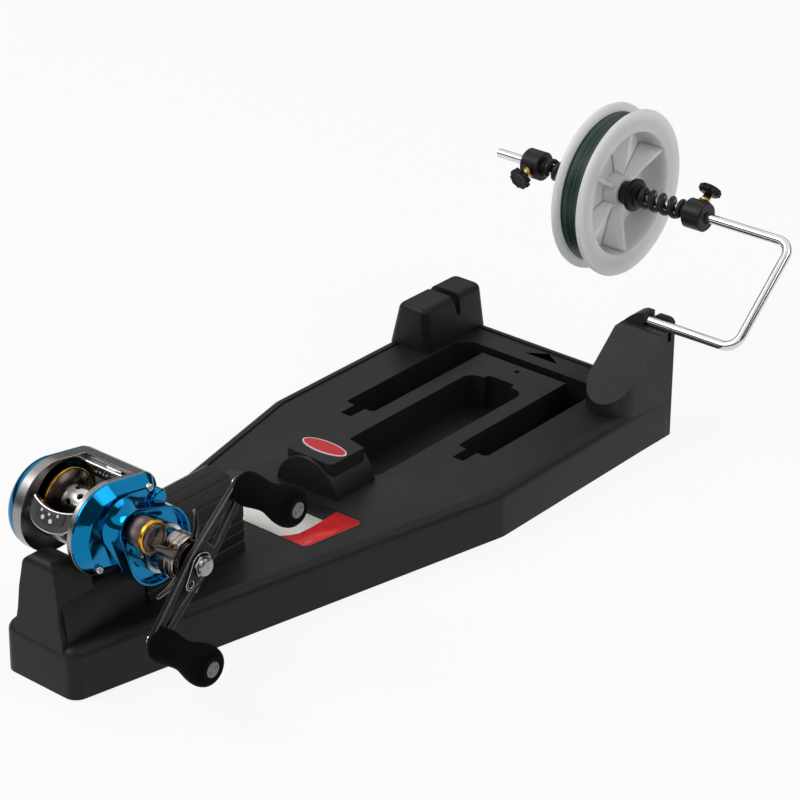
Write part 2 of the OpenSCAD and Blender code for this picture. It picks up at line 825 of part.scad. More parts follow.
module stud(angle) {
    translate([collar_w / 2, 0, 0]) rotate([angle, 0, 0])
        translate([0, 0, wire_r + play]) cylinder(d = stud_d, h = thumb_reach - wire_r - play);
}

// Knurled head of the thumb screw, with the stud's end let into it
module thumb(angle) {
    translate([collar_w / 2, 0, 0]) rotate([angle, 0, 0]) translate([0, 0, thumb_reach - thumb_t / 2])
        difference() {
            rotate_extrude() polygon([[0, 0], [thumb_d / 2 - over, 0], [thumb_d / 2, over],
                [thumb_d / 2, thumb_t - over], [thumb_d / 2 - over, thumb_t], [0, thumb_t]]);
            for (k = [0 : thumb_flutes - 1]) rotate([0, 0, 360 * k / thumb_flutes])
                translate([thumb_d / 2 + thumb_flute_r / 2, 0, -over]) cylinder(r = thumb_flute_r, h = thumb_t + 2 * over);
            translate([0, 0, -over]) cylinder(d = stud_d, h = thumb_t / 2 + over);
        }
}

module right_side() {
    spindle_place() translate([right_collar_reach, 0, 0]) children();
}

module left_side() {
    spindle_place() translate([-left_collar_reach, 0, 0]) mirror([1, 0, 0]) children();
}

module right_collar() {
    color([0.1, 0.1, 0.1]) right_side() collar(screw_angles[0]);
}

module left_collar() {
    color([0.1, 0.1, 0.1]) left_side() collar(screw_angles[1]);
}

module right_stud() {
    color([0.72, 0.52, 0.25]) right_side() stud(screw_angles[0]);
}

module left_stud() {
    color([0.72, 0.52, 0.25]) left_side() stud(screw_angles[1]);
}

module right_thumb() {
    color([0.12, 0.12, 0.12]) right_side() thumb(screw_angles[0]);
}

module left_thumb() {
    color([0.12, 0.12, 0.12]) left_side() thumb(screw_angles[1]);
}

// Centring cone whose flange starts at X = 0 and which points towards -X
module cone() {
    bore = wire_r + fit;
    nose = (hub_bore_d - 2 * play) / 2;
    turned() polygon([[bore, -cone_nose_l], [cone_nose_d / 2, -cone_nose_l], [nose, -play], [nose, 0],
        [cone_flange_d / 2 - over, 0], [cone_flange_d / 2, over], [cone_flange_d / 2, cone_flange_t],
        [cone_tail_d / 2, cone_flange_t], [cone_tail_d / 2, cone_flange_t + cone_tail_l],
        [bore, cone_flange_t + cone_tail_l]]);
}

module right_cone() {
    color([0.1, 0.1, 0.1]) spindle_place() translate([cone_seat_x, 0, 0]) cone();
}

module left_cone() {
    color([0.1, 0.1, 0.1]) spindle_place() mirror([1, 0, 0]) translate([cone_seat_x, 0, 0]) cone();
}

// Tube swept along a helix about X, with both ends cut square
function helix_ring(x, r, a, rise, tube, sides) = let (c = [x, r * cos(a), r * sin(a)],
        out = [0, cos(a), sin(a)], way = [rise, -r * sin(a), r * cos(a)] / norm([rise, r]), up = cross(way, out))
    [for (k = [0 : sides - 1]) c + tube * (cos(360 * k / sides) * up + sin(360 * k / sides) * out)];

// Least gap between neighbouring turns, measured on the swept points
function least_gap(rings, per_turn) = min([for (i = [0 : len(rings) - 1 - per_turn])
    min([for (p = rings[i], q = rings[i + per_turn]) norm(p - q)])]);

curl_rings = 8;
function spring_rings(l) = let (tube = spring_wire / 2, r = spring_d / 2 - tube, run = l - spring_wire,
        n = spring_curls * curl_rings, rise = run / spring_curls / (2 * PI))
    [for (i = [0 : n]) helix_ring(tube + run * i / n, r, 360 * i / curl_rings, rise, tube, 6)];

module right_spring() {
    rings = spring_rings(right_spring_l);
    echo("least gap of the right spring", least_gap(rings, curl_rings));
    color([0.08, 0.08, 0.08]) spindle_place() translate([cone_tail_x + play, 0, 0]) loft(rings);
}

module left_spring() {
    rings = spring_rings(left_spring_l);
    echo("least gap of the left spring", least_gap(rings, curl_rings));
    color([0.08, 0.08, 0.08]) spindle_place() rotate([0, 180, 0]) translate([cone_tail_x + play, 0, 0]) loft(rings);
}

// Supply spool
module supply_spool() {
    half = winding_w / 2;
    barrel = barrel_inner_d / 2;
    out = flange_d / 2;
    floor_x = -half + over;
    color([0.9, 0.91, 0.9]) spindle_place() difference() {
        union() {
            turned() polygon(concat([[barrel, -spool_half], [out - over, -spool_half]],
                arc([out - flange_t / 2, -half - flange_t / 2], flange_t / 2, -60, 60, 4),
                [[barrel + 2 * spool_skin, -half], [barrel + 2 * spool_skin, half]],
                arc([out - flange_t / 2, half + flange_t / 2], flange_t / 2, -60, 60, 4),
                [[out - over, spool_half], [barrel, spool_half]]));
            turned() polygon([[hub_d / 2 - spool_skin, spool_half - hub_wall_in], [hub_d / 2, spool_half - hub_wall_in],
                [barrel + spool_skin / 2, floor_x + spool_skin], [barrel + spool_skin / 2, floor_x]]);
            ring([-spool_half, spool_half - hub_wall_in], hub_d / 2);
            for (k = [0 : web_count - 1]) rotate([web_turn + 360 * k / web_count, 0, 0])
                across([-half, spool_half - 2 * hub_wall_in]) polygon([[0, 0],
                    [barrel + spool_skin, -web_t], [barrel + spool_skin, web_t]]);
        }
        ring([-spool_half - over, spool_half + over], hub_bore_d / 2);
    }
}

module line_core() {
    color([0.07, 0.17, 0.16]) spindle_place()
        ring([-winding_w / 2 + play, winding_w / 2 - play], core_d / 2, barrel_inner_d / 2 + 2 * spool_skin + play);
}

module line_winding() {
    tube = strand_d / 2;
    r = wound_d / 2 - tube;
    run = winding_w - 2 * play - strand_d;
    n = loop_count * loop_rings;
    rise = run / loop_count / (2 * PI);
    rings = [for (i = [0 : n]) helix_ring(-run / 2 + run * i / n, r, 360 * i / loop_rings, rise, tube, 6)];
    echo("least gap of the wound line", least_gap(rings, loop_rings));
    color([0.08, 0.2, 0.19]) spindle_place() loft(rings);
}

// Reel
module reel_place() {
    translate([0, reel_y, reel_z]) children();
}

module drive_place() {
    reel_place() translate([0, drive[0], drive[1]]) children();
}

function frame_circles(d) = inset([front_circle, rear_low_circle, rear_high_circle], d);
function housing_circles(d) = inset([[0, 0, housing_small_r], [drive[0], drive[1], housing_r]], d);

module frame_outline(d = 0) {
    polygon(belt(frame_circles(d), 16));
}

module housing_outline(d = 0) {
    polygon(belt(housing_circles(d), 20));
}

module reel_frame() {
    window_r = rim_r + over;
    inner_x = [left_ring_x[1] - over / 2, right_ring_x[0] + over / 2];
    stem_top = reel_z - belly_r + belly_t / 2;
    color([0.6, 0.59, 0.58]) {
        difference() {
            union() {
                reel_place() {
                    across(left_ring_x) frame_outline();
                    across(right_ring_x) frame_outline();
                    across(inner_x) polygon(concat(arc([0, 0], belly_r, belly_from, belly_to, 14),
                        arc([0, 0], belly_r - belly_t, belly_to, belly_from, 14)));
                    intersection() {
                        across(inner_x) difference() {
                            frame_outline();
                            frame_outline(hood_t);
                        }
                        translate([left_ring_x[0], rear_high_circle[0] - hood_ahead, rear_high_circle[1] + hood_low])
                            cube([right_ring_x[1] - left_ring_x[0], frame_r, frame_r]);
                    }
                }
                translate([-stem_half, reel_y - stem_half, rail_h + foot_t / 2])
                    cube([2 * stem_half, 2 * stem_half + 2 * over, stem_top - rail_h - foot_t / 2]);
                translate([0, 0, rail_h]) linear_extrude(foot_t) polygon(belt(rounded_box(-foot_half,
                    foot_half, front_y + foot_front, front_y + foot_back - 2 * foot_play, foot_t)));
            }
            reel_place() {
                ring([left_ring_x[0] - over, left_ring_x[1] + over], window_r);
                ring([right_ring_x[0] - over, right_ring_x[1] + over], bearing_r + fit);
                translate([0, worm[0], worm[1]]) rod([worm_left - fit, right_ring_x[1] + over], worm_r + fit);
                translate([0, guide_bar_at[0], guide_bar_at[1]])
                    rod([left_ring_x[1] - 2 * over, right_ring_x[0] + 2 * over], guide_bar_r + fit);
                translate([0, guide_rod_at[0], guide_rod_at[1]])
                    rod([left_ring_x[1] - 2 * over, right_ring_x[0] + 2 * over], guide_rod_r + fit);
            }
        }
    }
}

module palm_cover() {
    edge_share = [[0, 5.5], [0.1, 2.6], [0.35, 0.8], [0.7, 0], [1, 0]];
    color([0.03, 0.35, 0.6]) reel_place() difference() {
        loft_across([for (e = edge_share) [mix(palm_x[0], palm_x[1], e[0]), frame_circles(e[1])]]);
        ring([shaft_left - play, palm_x[1] + over], bearing_r + fit);
    }
}

module gear_cover() {
    x0 = right_ring_x[1];
    bevel = 5.5;
    color([0.03, 0.45, 0.75]) reel_place() difference() {
        union() {
            loft_across([[x0, frame_circles(0)], [x0 + over, frame_circles(play)],
                [cover_top_x - over / 2, frame_circles(bevel)], [cover_top_x, frame_circles(bevel + over)]]);
            across([plate_x[1], housing_x]) housing_outline();
            translate([0, worm[0], worm[1]]) ring([x0, worm_boss_x], worm_boss_r);
        }
        across([recess_x, housing_x + over]) difference() {
            housing_outline(recess_wall);
            circle(r = boss_r);
        }
        across([x0 - over, cavity_x]) housing_outline(housing_wall);
        translate([0, worm[0], worm[1]]) ring([x0 - over, worm_boss_x - over], worm_pocket_r);
        across([plate_x[0] - play / 2, plate_x[1]]) housing_outline(-play / 2);
        ring([recess_x - 2 * over, housing_x + over], shaft_r + fit);
        translate([0, drive[0], drive[1]]) ring([cavity_x - over, recess_x + over], drive_r + fit);
        for (p = screw_places) translate([0, p[0], p[1]]) rod([x0 - over, housing_x], screw_r + play);
    }
    color([0.03, 0.45, 0.75]) reel_place() ring([housing_x - over / 2, cap_x[1] - cap_roof - over], boss_r, shaft_r + fit);
}

module gear_plate() {
    color([0.5, 0.5, 0.52]) reel_place() difference() {
        across(plate_x) housing_outline();
        ring([plate_x[0] - over, plate_x[1] + over], bearing_r + fit);
        translate([0, drive[0], drive[1]]) ring([plate_x[0] - over, plate_x[1] + over], drive_r + fit);
        translate([0, worm[0], worm[1]]) ring([plate_x[0] - over, plate_x[1] + over], worm_r + play);
        for (p = screw_places) translate([0, p[0], p[1]]) rod([plate_x[0] - over, housing_x], screw_r + play);
    }
}

module plate_screws() {
    color([0.75, 0.75, 0.76]) reel_place() for (p = screw_places) translate([0, p[0], p[1]])
        rod([right_ring_x[1] + play, cover_top_x + screw_head], screw_r);
}

module guide_bar() {
    color([0.82, 0.82, 0.84]) reel_place() translate([0, guide_bar_at[0], guide_bar_at[1]])
        rod([left_ring_x[1] - over, right_ring_x[0] + over], guide_bar_r);
}

module guide_rod() {
    color([0.7, 0.7, 0.72]) reel_place() translate([0, guide_rod_at[0], guide_rod_at[1]])
        rod([left_ring_x[1] - over, right_ring_x[0] + over], guide_rod_r);
}

module reel_spool() {
    x0 = spool_x_rims[0];
    x1 = spool_x_rims[1];
    color([0.8, 0.78, 0.75]) reel_place() difference() {
        turned() polygon([[shaft_r + fit, x0 + 2 * rim_t], [web_r, x0], [rim_r, x0], [rim_r, x0 + rim_t],
            [web_r, x0 + rim_t + over], [arbor_r, x0 + 3 * rim_t], [arbor_r, x1 - 3 * rim_t],
            [web_r, x1 - rim_t - over], [rim_r, x1 - rim_t], [rim_r, x1], [web_r, x1], [shaft_r + fit, x1 - 2 * rim_t]]);
        turned() translate([shaft_r + 2 * over, x0 + 4 * rim_t])
            square([arbor_r - shaft_r - 4 * over, x1 - x0 - 8 * rim_t]);
        for (k = [0 : arbor_holes - 1], x = [-1, 1])
            translate([mix(x0, x1, 0.5) + x * 2 * rim_t, 0, 0]) rotate([360 * (k + x / 4) / arbor_holes, 0, 0])
                translate([0, 0, arbor_r - 3 * over]) cylinder(r = arbor_hole_r, h = 4 * over);
    }
}

module spool_shaft() {
    color([0.75, 0.75, 0.77]) reel_place() rod([shaft_left, cap_x[1] - cap_roof - over], shaft_r);
}

module spool_bearings() {
    color([0.7, 0.7, 0.72]) reel_place() {
        ring([shaft_left + over, shaft_left + over + bearing_t], bearing_r, shaft_r + fit);
        ring([right_ring_x[0], right_ring_x[0] + bearing_t], bearing_r, shaft_r + fit);
    }
}

// Plain gear outline with one tooth centred on angle turn
module gear_outline(teeth, turn) {
    pitch_r = gear_unit * teeth / 2;
    half = gear_unit * PI * tooth_share / 2;
    lean = tan(pressure_angle);
    tip = pitch_r + tooth_tip;
    root = pitch_r - tooth_root;
    edge = function (r, s) let (w = (half - (r - pitch_r) * lean) / r * 180 / PI) s * w;
    polygon([for (k = [0 : teeth - 1]) let (a = turn + 360 * k / teeth)
        for (c = [[root, -1], [tip, -1], [tip, 1], [root, 1]])
            c[0] * [cos(a + edge(c[0], c[1])), sin(a + edge(c[0], c[1]))]]);
}

// Angles at which the gears mesh at rest
pinion_way = atan2(-drive[1], -drive[0]);
drive_step = 360 / drive_teeth;
pinion_step = 360 / pinion_teeth;
worm_step = 360 / worm_teeth;
worm_lag = round((worm_angle - pinion_way) / drive_step) * drive_step - (worm_angle - pinion_way);

module gear(teeth, turn, bore) {
    across(gear_x) difference() {
        gear_outline(teeth, turn);
        circle(r = bore + fit);
    }
}

module pinion_gear() {
    color([0.72, 0.55, 0.3]) reel_place() gear(pinion_teeth, pinion_way + 180 + pinion_step / 2, shaft_r);
}

module worm_place() {
    reel_place() translate([0, worm[0], worm[1]]) children();
}

module worm_gear() {
    color([0.9, 0.9, 0.88]) worm_place()
        gear(worm_teeth, worm_angle + 180 - worm_lag * drive_teeth / worm_teeth + worm_step / 2, worm_end_r);
}

module worm_shaft() {
    color([0.7, 0.7, 0.72]) worm_place() difference() {
        union() {
            rod([worm_left, gear_x[0] - play], worm_r);
            rod([gear_x[0] - over, gear_x[1]], worm_end_r);
        }
        for (x = [left_ring_x[1] + over : worm_groove_step : right_ring_x[0] - over])
            translate([x, 0, 0]) turned() translate([worm_r, 0]) circle(r = worm_groove_r);
    }
}

guide_mid = mix(left_ring_x[1], right_ring_x[0], 0.5);

module line_guide() {
    xs = [guide_mid - guide_w / 2, guide_mid + guide_w / 2];
    cut = [xs[0] - over, xs[1] + over];
    color([0.55, 0.55, 0.56]) reel_place() difference() {
        union() {
            translate([0, worm[0], worm[1]]) ring(xs, worm_r + guide_wall);
            across(xs) polygon(belt([[worm[0], worm[1], guide_wall],
                [eye_at[0] + eye_t - guide_wall, worm[1] + guide_wall, guide_wall]]));
            eye_place() cylinder(r = eye_r + eye_wall, h = eye_t);
            across(xs) polygon(belt([[worm[0], worm[1], guide_wall],
                [guide_rod_at[0], guide_rod_at[1], guide_rod_r + guide_wall]]));
        }
        translate([0, worm[0], worm[1]]) ring(cut, worm_r + fit);
        translate([0, guide_rod_at[0], guide_rod_at[1]]) ring(cut, guide_rod_r + fit);
        eye_place() translate([0, 0, -over]) cylinder(r = eye_r, h = eye_t + 2 * over);
    }
}

module eye_place() {
    translate([guide_mid, eye_at[0], eye_at[1]]) rotate([-90, 0, 0]) children();
}

module guide_eye() {
    color([0.9, 0.9, 0.85]) reel_place() eye_place() rotate_extrude()
        polygon([[eye_r, 0], [eye_r, eye_t], [eye_hole_r + over / 2, eye_t], [eye_hole_r, eye_t - over / 2],
            [eye_hole_r, over / 2], [eye_hole_r + over / 2, 0]]);
}

module thumb_place() {
    reel_place() translate([0, thumb_bar_at[0], thumb_bar_at[1]]) rotate([-thumb_bar_lean, 0, 0]) children();
}

// Outline of the thumb pad's inset, seen from the front, grown by gap
module pad_outline(gap) {
    x0 = thumb_bar_x[0] + thumb_pad_edge;
    x1 = thumb_bar_x[1] - thumb_pad_edge;
    h = thumb_bar_size[1] / 2 - thumb_bar_r;
    polygon(belt(inset(rounded_box(x0, x1, -h, h, thumb_bar_r), -gap)));
}

module thumb_bar() {
    t = thumb_bar_size[0] / 2;
    h = thumb_bar_size[1] / 2;
    color([0.7, 0.69, 0.68]) thumb_place() difference() {
        across(thumb_bar_x) polygon(belt(rounded_box(-t, t, -h, h, thumb_bar_r)));
        along([-t - over, thumb_pad_t - t]) pad_outline(fit);
    }
}

module thumb_pad() {
    t = thumb_bar_size[0] / 2;
    color([0.3, 0.3, 0.32]) thumb_place() along([-t, thumb_pad_t - t - fit]) difference() {
        pad_outline(0);
        for (d = thumb_dots) translate([guide_mid + d[0], d[1]]) circle(r = thumb_dot_r, $fn = 20);
    }
}

module tension_cap() {
    r = cap_d / 2;
    color([0.3, 0.24, 0.22]) reel_place() difference() {
        turned() polygon([[boss_r + fit, cap_x[0]], [r - over / 2, cap_x[0]], [r, cap_x[0] + over / 2],
            [r, gold_x[0]], [r - gold_out, gold_x[0]], [r - gold_out, gold_x[1]], [r - over / 2, gold_x[1]],
            [r - over, cap_x[1]], [0, cap_x[1]], [0, cap_x[1] - cap_roof], [boss_r + fit, cap_x[1] - cap_roof]]);
        for (k = [0 : cap_flutes - 1]) rotate([360 * k / cap_flutes, 0, 0])
            translate([0, r + cap_flute_r / 3, 0]) rod([cap_x[0] - over, gold_x[0] - over], cap_flute_r);
    }
}

module tension_ring() {
    r = cap_d / 2;
    color([0.85, 0.6, 0.1]) reel_place()
        ring([gold_x[0] + fit, gold_x[1] - fit], r + gold_out, r - gold_out + fit);
}

module collar_ring() {
    color([0.8, 0.81, 0.82]) drive_place() difference() {
        ring(ring_x, ring_r, ring_r - ring_t);
        for (k = [0 : ring_holes - 1]) rotate([360 * (k + 0.5) / ring_holes, 0, 0])
            translate([mix(ring_x[0], ring_x[1], 0.5), 0, ring_r - ring_t - over])
                cylinder(r = ring_hole_r, h = ring_t + 2 * over);
    }
}

module drive_shaft() {
    color([0.75, 0.75, 0.77]) drive_place() {
        rod([plate_x[0] - play, nut_x + nut_flange_t + nut_l / 2], drive_r);
        rod([recess_x + play, star_x[0] - play], sleeve_r);
    }
}

module drive_gear() {
    color([0.74, 0.58, 0.3]) drive_place() difference() {
        gear(drive_teeth, pinion_way, drive_r);
        for (k = [0 : star_spokes - 1]) rotate([360 * k / star_spokes, 0, 0])
            translate([0, (washer_r + drive_r) / 2 + over, 0]) rod([gear_x[0] - over, gear_x[1] + over], gear_hole_r);
    }
}

module drag_washer() {
    color([0.2, 0.2, 0.2]) drive_place()
        ring([gear_x[1] + fit, gear_x[1] + fit + washer_t], washer_r, drive_r + fit);
}

module star_hub() {
    x = star_x;
    s = star_step;
    bore = drive_r + fit;
    color([0.75, 0.73, 0.72]) drive_place() turned() polygon([[bore, x[0]], [star_hub_r - 4 * s, x[0]],
        [star_hub_r, x[0] + over], [star_hub_r, x[1] - 9 * s], [star_hub_r - s, x[1] - 9 * s],
        [star_hub_r - s, x[1] - 7 * s], [star_hub_r, x[1] - 7 * s], [star_hub_r, x[1] - 3 * s],
        [star_hub_r - 2 * s, x[1] - s], [star_hub_r - 2 * s, x[1]], [bore, x[1]]]);
}

// One spoke along Y: a strip that bends back towards the reel
module spoke() {
    x = star_x[1] + fit / 2 + spoke_t;
    r0 = star_hub_r - spoke_t;
    steps = 8;
    bend = [for (k = [0 : steps]) let (r = mix(r0, star_reach, k / steps)) [x - spoke_drop * pow(k / steps, 2), r]];
    root = star_hub_r / 2;
    tip = spoke_tip_w / 2;
    intersection() {
        translate([0, 0, -spoke_root_w / 2]) linear_extrude(spoke_root_w) polygon(concat([[x, root]], bend,
            [for (k = [steps : -1 : 0]) bend[k] - [spoke_t, 0]], [[x - spoke_t, root]]));
        across([star_x[0], x + over]) polygon(concat([[root, spoke_root_w / 2], [root, -spoke_root_w / 2]],
            arc([star_reach - tip, 0], tip, -80, 80, 6)));
    }
}

module star_drag() {
    color([0.45, 0.36, 0.33]) drive_place() {
        ring([star_x[1] + fit / 2, star_x[1] + fit / 2 + spoke_t], star_hub_r - 2 * star_step, drive_r + fit);
        for (k = [0 : star_spokes - 1]) rotate([star_turn + 360 * k / star_spokes, 0, 0]) spoke();
    }
}

module knob_place(side) {
    drive_place() translate([0, side * knob_reach * cos(handle_turn), side * knob_reach * sin(handle_turn)])
        children();
}

module handle_arm() {
    window_from = arm_hub_r + arm_rib;
    window_to = knob_reach - arm_eye_r - arm_rib;
    color([0.12, 0.12, 0.125]) drive_place() rotate([handle_turn, 0, 0])
        across([arm_x, arm_x + arm_t]) difference() {
            polygon(belt([[-knob_reach, 0, arm_eye_r], [0, 0, arm_hub_r], [knob_reach, 0, arm_eye_r],
                [0, 0, arm_hub_r]], 10));
            circle(r = drive_r + fit);
            for (s = [-1, 1]) {
                translate([s * knob_reach, 0]) circle(r = spindle_r + fit);
                polygon(belt([for (c = [[window_from, -arm_window_half, 1], [window_to, 0, 1],
                    [window_from, arm_window_half, 1]]) [s * c[0], s * c[1], arm_window_r]], 4));
            }
        }
}

module nut_retainer() {
    color([0.55, 0.56, 0.57]) drive_place() rotate([handle_turn, 0, 0])
        across([arm_x + arm_t + fit, nut_x - fit]) difference() {
            polygon(belt([[-retainer_reach, 0, retainer_eye_r], [0, 0, arm_hub_r - over]], 12));
            circle(r = drive_r + fit);
            translate([-retainer_reach, 0]) circle(r = retainer_eye_r / 2);
        }
}

module handle_nut() {
    color([0.65, 0.66, 0.68]) drive_place() difference() {
        union() {
            translate([nut_x, 0, 0]) rotate([0, 90, 0]) cylinder(r = nut_flange_r, h = nut_flange_t, $fn = 6);
            turned() polygon([[0, nut_x], [nut_r, nut_x], [nut_r, nut_x + nut_flange_t + nut_l - over / 2],
                [nut_r - over / 2, nut_x + nut_flange_t + nut_l], [0, nut_x + nut_flange_t + nut_l]]);
        }
        rod([nut_x - over, nut_x + nut_flange_t + nut_l / 2 + play], drive_r + fit);
    }
}

module knob_spindles() {
    color([0.7, 0.7, 0.72]) for (s = [-1, 1]) knob_place(s) {
        rod([arm_x - play, knob_end_x - knob_cap_t - 2 * play], spindle_r);
        rod([arm_x - play - rivet_t, arm_x - play], spindle_r + over);
    }
}

// Foam knob on its spindle: outline as shares of its length and of its half diameter
module knob() {
    profile_share = [[0, 0.7], [0.02, 0.79], [0.08, 0.84], [0.16, 0.83], [0.28, 0.76], [0.4, 0.72], [0.5, 0.74],
        [0.62, 0.86], [0.72, 0.96], [0.82, 1], [0.9, 0.97], [0.96, 0.86], [1, 0.66]];
    seat = knob_cap_t + play;
    turned() polygon(concat([[spindle_r + fit, knob_x]],
        [for (p = profile_share) [knob_d / 2 * p[1], knob_x + knob_l * p[0]]],
        [[knob_cap_r + fit, knob_end_x], [knob_cap_r + fit, knob_end_x - seat], [spindle_r + fit, knob_end_x - seat]]));
}

module knob_cap() {
    difference() {
        ring([knob_end_x - knob_cap_t, knob_end_x], knob_cap_r);
        for (a = [20, 200]) rotate([a, 0, 0]) translate([0, pin_hole_reach, 0])
            rod([knob_end_x - knob_cap_t / 2, knob_end_x + over], pin_hole_r);
    }
}

module upper_knob() {
    color([0.08, 0.08, 0.08]) knob_place(1) knob();
}

module lower_knob() {
    color([0.08, 0.08, 0.08]) knob_place(-1) knob();
}

module upper_knob_cap() {
    color([0.5, 0.47, 0.46]) knob_place(1) knob_cap();
}

module lower_knob_cap() {
    color([0.5, 0.47, 0.46]) knob_place(-1) knob_cap();
}

base_shell();
rubber_feet();
deck_label();
pad_badge();
reel_clamp();
wire_arm();
left_collar();
right_collar();
left_stud();
right_stud();
left_thumb();
right_thumb();
left_cone();
right_cone();
left_spring();
right_spring();
supply_spool();
line_core();
line_winding();
reel_frame();
palm_cover();
gear_cover();
gear_plate();
plate_screws();
guide_bar();
guide_rod();
reel_spool();
spool_shaft();
spool_bearings();
pinion_gear();
worm_shaft();
worm_gear();
line_guide();
guide_eye();
thumb_bar();
thumb_pad();
tension_cap();
tension_ring();
collar_ring();
drive_shaft();
drive_gear();
drag_washer();
star_hub();
star_drag();
handle_arm();
nut_retainer();
handle_nut();
knob_spindles();
upper_knob();
lower_knob();
upper_knob_cap();
lower_knob_cap();
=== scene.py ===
from math import acos, atan2, copysign, cos, hypot, pi, radians, sin, tau

import bmesh
import bpy
from mathutils import Matrix, Vector


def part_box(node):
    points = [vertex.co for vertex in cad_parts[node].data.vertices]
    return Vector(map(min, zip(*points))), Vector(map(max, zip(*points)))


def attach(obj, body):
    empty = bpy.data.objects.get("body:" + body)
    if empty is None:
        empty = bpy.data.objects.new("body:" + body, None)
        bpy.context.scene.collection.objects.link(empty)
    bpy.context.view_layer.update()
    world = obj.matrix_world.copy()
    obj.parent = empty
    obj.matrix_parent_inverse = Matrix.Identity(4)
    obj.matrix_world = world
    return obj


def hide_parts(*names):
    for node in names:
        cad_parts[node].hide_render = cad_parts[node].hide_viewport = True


MM = 0.001
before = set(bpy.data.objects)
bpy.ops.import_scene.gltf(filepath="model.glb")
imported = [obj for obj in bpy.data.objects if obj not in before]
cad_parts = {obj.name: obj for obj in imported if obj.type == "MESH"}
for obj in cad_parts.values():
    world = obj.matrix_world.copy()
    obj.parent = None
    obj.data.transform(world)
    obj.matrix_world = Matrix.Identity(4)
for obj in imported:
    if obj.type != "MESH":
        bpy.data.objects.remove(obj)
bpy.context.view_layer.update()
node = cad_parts

# Camera, at the photograph's viewing angle
CAMERA_AT = Vector((904.2, -1002.8, 775.1)) * MM
CAMERA_WAY = Vector((-0.5736, 0.6786, -0.4588))
LENS = 125.34

# Light. The first three strengths are those of the white background, its soft light and the dim walls.
BACKGROUND = 1.0
AMBIENT = 0.42
WALL_GLOSS = 0.1
WALL_HEIGHT = 0.16
WALL_EDGE = (0.17, 0.27)
FLAG_WAY = Vector((0.75, -0.1, 0.66)).normalized()
FLAG_EDGE = (0.94, 0.87)
PAPER_GLOW = 0.89
PAPER_HALF = 4
AIM = (0, 0, 0.05)
KEY_LAMP = {"at": (-0.9, -1.1, 1.7), "size": (1.4, 1.0), "watts": 19}
FILL_LAMP = {"at": (1.4, 0.5, 1.3), "size": (1.0, 1.0), "watts": 6}

WHITE = (1, 1, 1, 1)
BLACK = (0, 0, 0, 1)
COLOUR = "NodeSocketColor"
NUMBER = "NodeSocketFloat"
COAT_ROUGH = 0.05
GRAIN_DEPTH = 0.0002
DRIFT_EDGES = (0.35, 0.65)
# Pointiness over which sharp edges are painted lighter: painted edge highlight.
HIGHLIT_EDGES = (0.53, 0.64)
# Paler turns of the green line: painted highlights on its strands.
GLINT_TURNS = (0.5, 0.75)
GLINT_COLOUR = (0.1, 0.22, 0.18, 1)
WELD = 1e-7


def add_object(name, data, at=(0, 0, 0), way=None):
    """A new object at a place, looking along way if that is given."""
    made = bpy.data.objects.new(name, data)
    bpy.context.collection.objects.link(made)
    if way:
        made.location = at
        made.rotation_mode = "QUATERNION"
        made.rotation_quaternion = way.to_track_quat("-Z", "Y")
    return made


def add_camera():
    data = bpy.data.cameras.new("camera")
    data.lens = LENS
    data.sensor_width = 36
    data.clip_start = 0.05
    data.clip_end = 20
    bpy.context.scene.camera = add_object("camera", data, CAMERA_AT, CAMERA_WAY)


def add_lamp(name, at, size, watts):
    data = bpy.data.lights.new(name, "AREA")
    data.shape = "RECTANGLE"
    data.size, data.size_y = size
    data.energy = watts
    add_object(name, data, at, Vector(AIM) - Vector(at))


def add_world():
    """White for the camera and through clear parts. Metal also shows dim studio walls and a dark flag."""
    world = bpy.data.worlds.new("studio")
    bpy.context.scene.world = world
    world.use_nodes = True
    tree = world.node_tree
    tree.nodes.clear()
    way = tree.nodes.new("ShaderNodeTexCoord").outputs["Generated"]
    height = place(tree, "ShaderNodeSeparateXYZ", way).outputs["Z"]
    off = reckon(tree, "ABSOLUTE", reckon(tree, "SUBTRACT", height, WALL_HEIGHT))
    wall = ramp(tree, off, *WALL_EDGE, interpolation_type="SMOOTHSTEP")
    aim = place(tree, "ShaderNodeVectorMath", way, FLAG_WAY, operation="DOT_PRODUCT").outputs["Value"]
    flag = ramp(tree, aim, *FLAG_EDGE, interpolation_type="SMOOTHSTEP")
    level = ramp(tree, reckon(tree, "MULTIPLY", wall, flag), low=WALL_GLOSS, high=BACKGROUND)
    soft, gloss, clear = [place(tree, "ShaderNodeBackground", WHITE, strength).outputs[0]
                          for strength in (AMBIENT, level, BACKGROUND)]
    path = tree.nodes.new("ShaderNodeLightPath").outputs
    seen = reckon(tree, "MAXIMUM", path["Is Camera Ray"], path["Is Transmission Ray"])
    lit = place(tree, "ShaderNodeMixShader", path["Is Glossy Ray"], soft, gloss).outputs[0]
    shown = place(tree, "ShaderNodeMixShader", seen, lit, clear).outputs[0]
    place(tree, "ShaderNodeOutputWorld", Surface=shown)


def fill(tree, socket, value):
    """Sets an input to a plain value, or links it to the output that is given."""
    if isinstance(value, bpy.types.NodeSocket):
        tree.links.new(value, socket)
    else:
        socket.default_value = value


def adjust(tree, made, **values):
    """Fills a node's inputs or settings by name. An underscore stands for a space in an input's name."""
    for key, value in values.items():
        label = key.replace("_", " ")
        if label in made.inputs:
            fill(tree, made.inputs[label], value)
        else:
            setattr(made, key, value)


def place(tree, kind, *terms, **values):
    """A new node, with its settings and inputs by name and then its first inputs in their order."""
    made = tree.nodes.new(kind)
    adjust(tree, made, **values)
    for socket, term in zip(made.inputs, terms):
        fill(tree, socket, term)
    return made


def reckon(tree, operation, *terms):
    return place(tree, "ShaderNodeMath", *terms, operation=operation).outputs[0]


def ramp(tree, value, start=0, end=1, low=0, high=1, **settings):
    """Low before start and high past end, with a steady or smooth change between them."""
    return place(tree, "ShaderNodeMapRange", value, start, end, low, high, **settings).outputs["Result"]


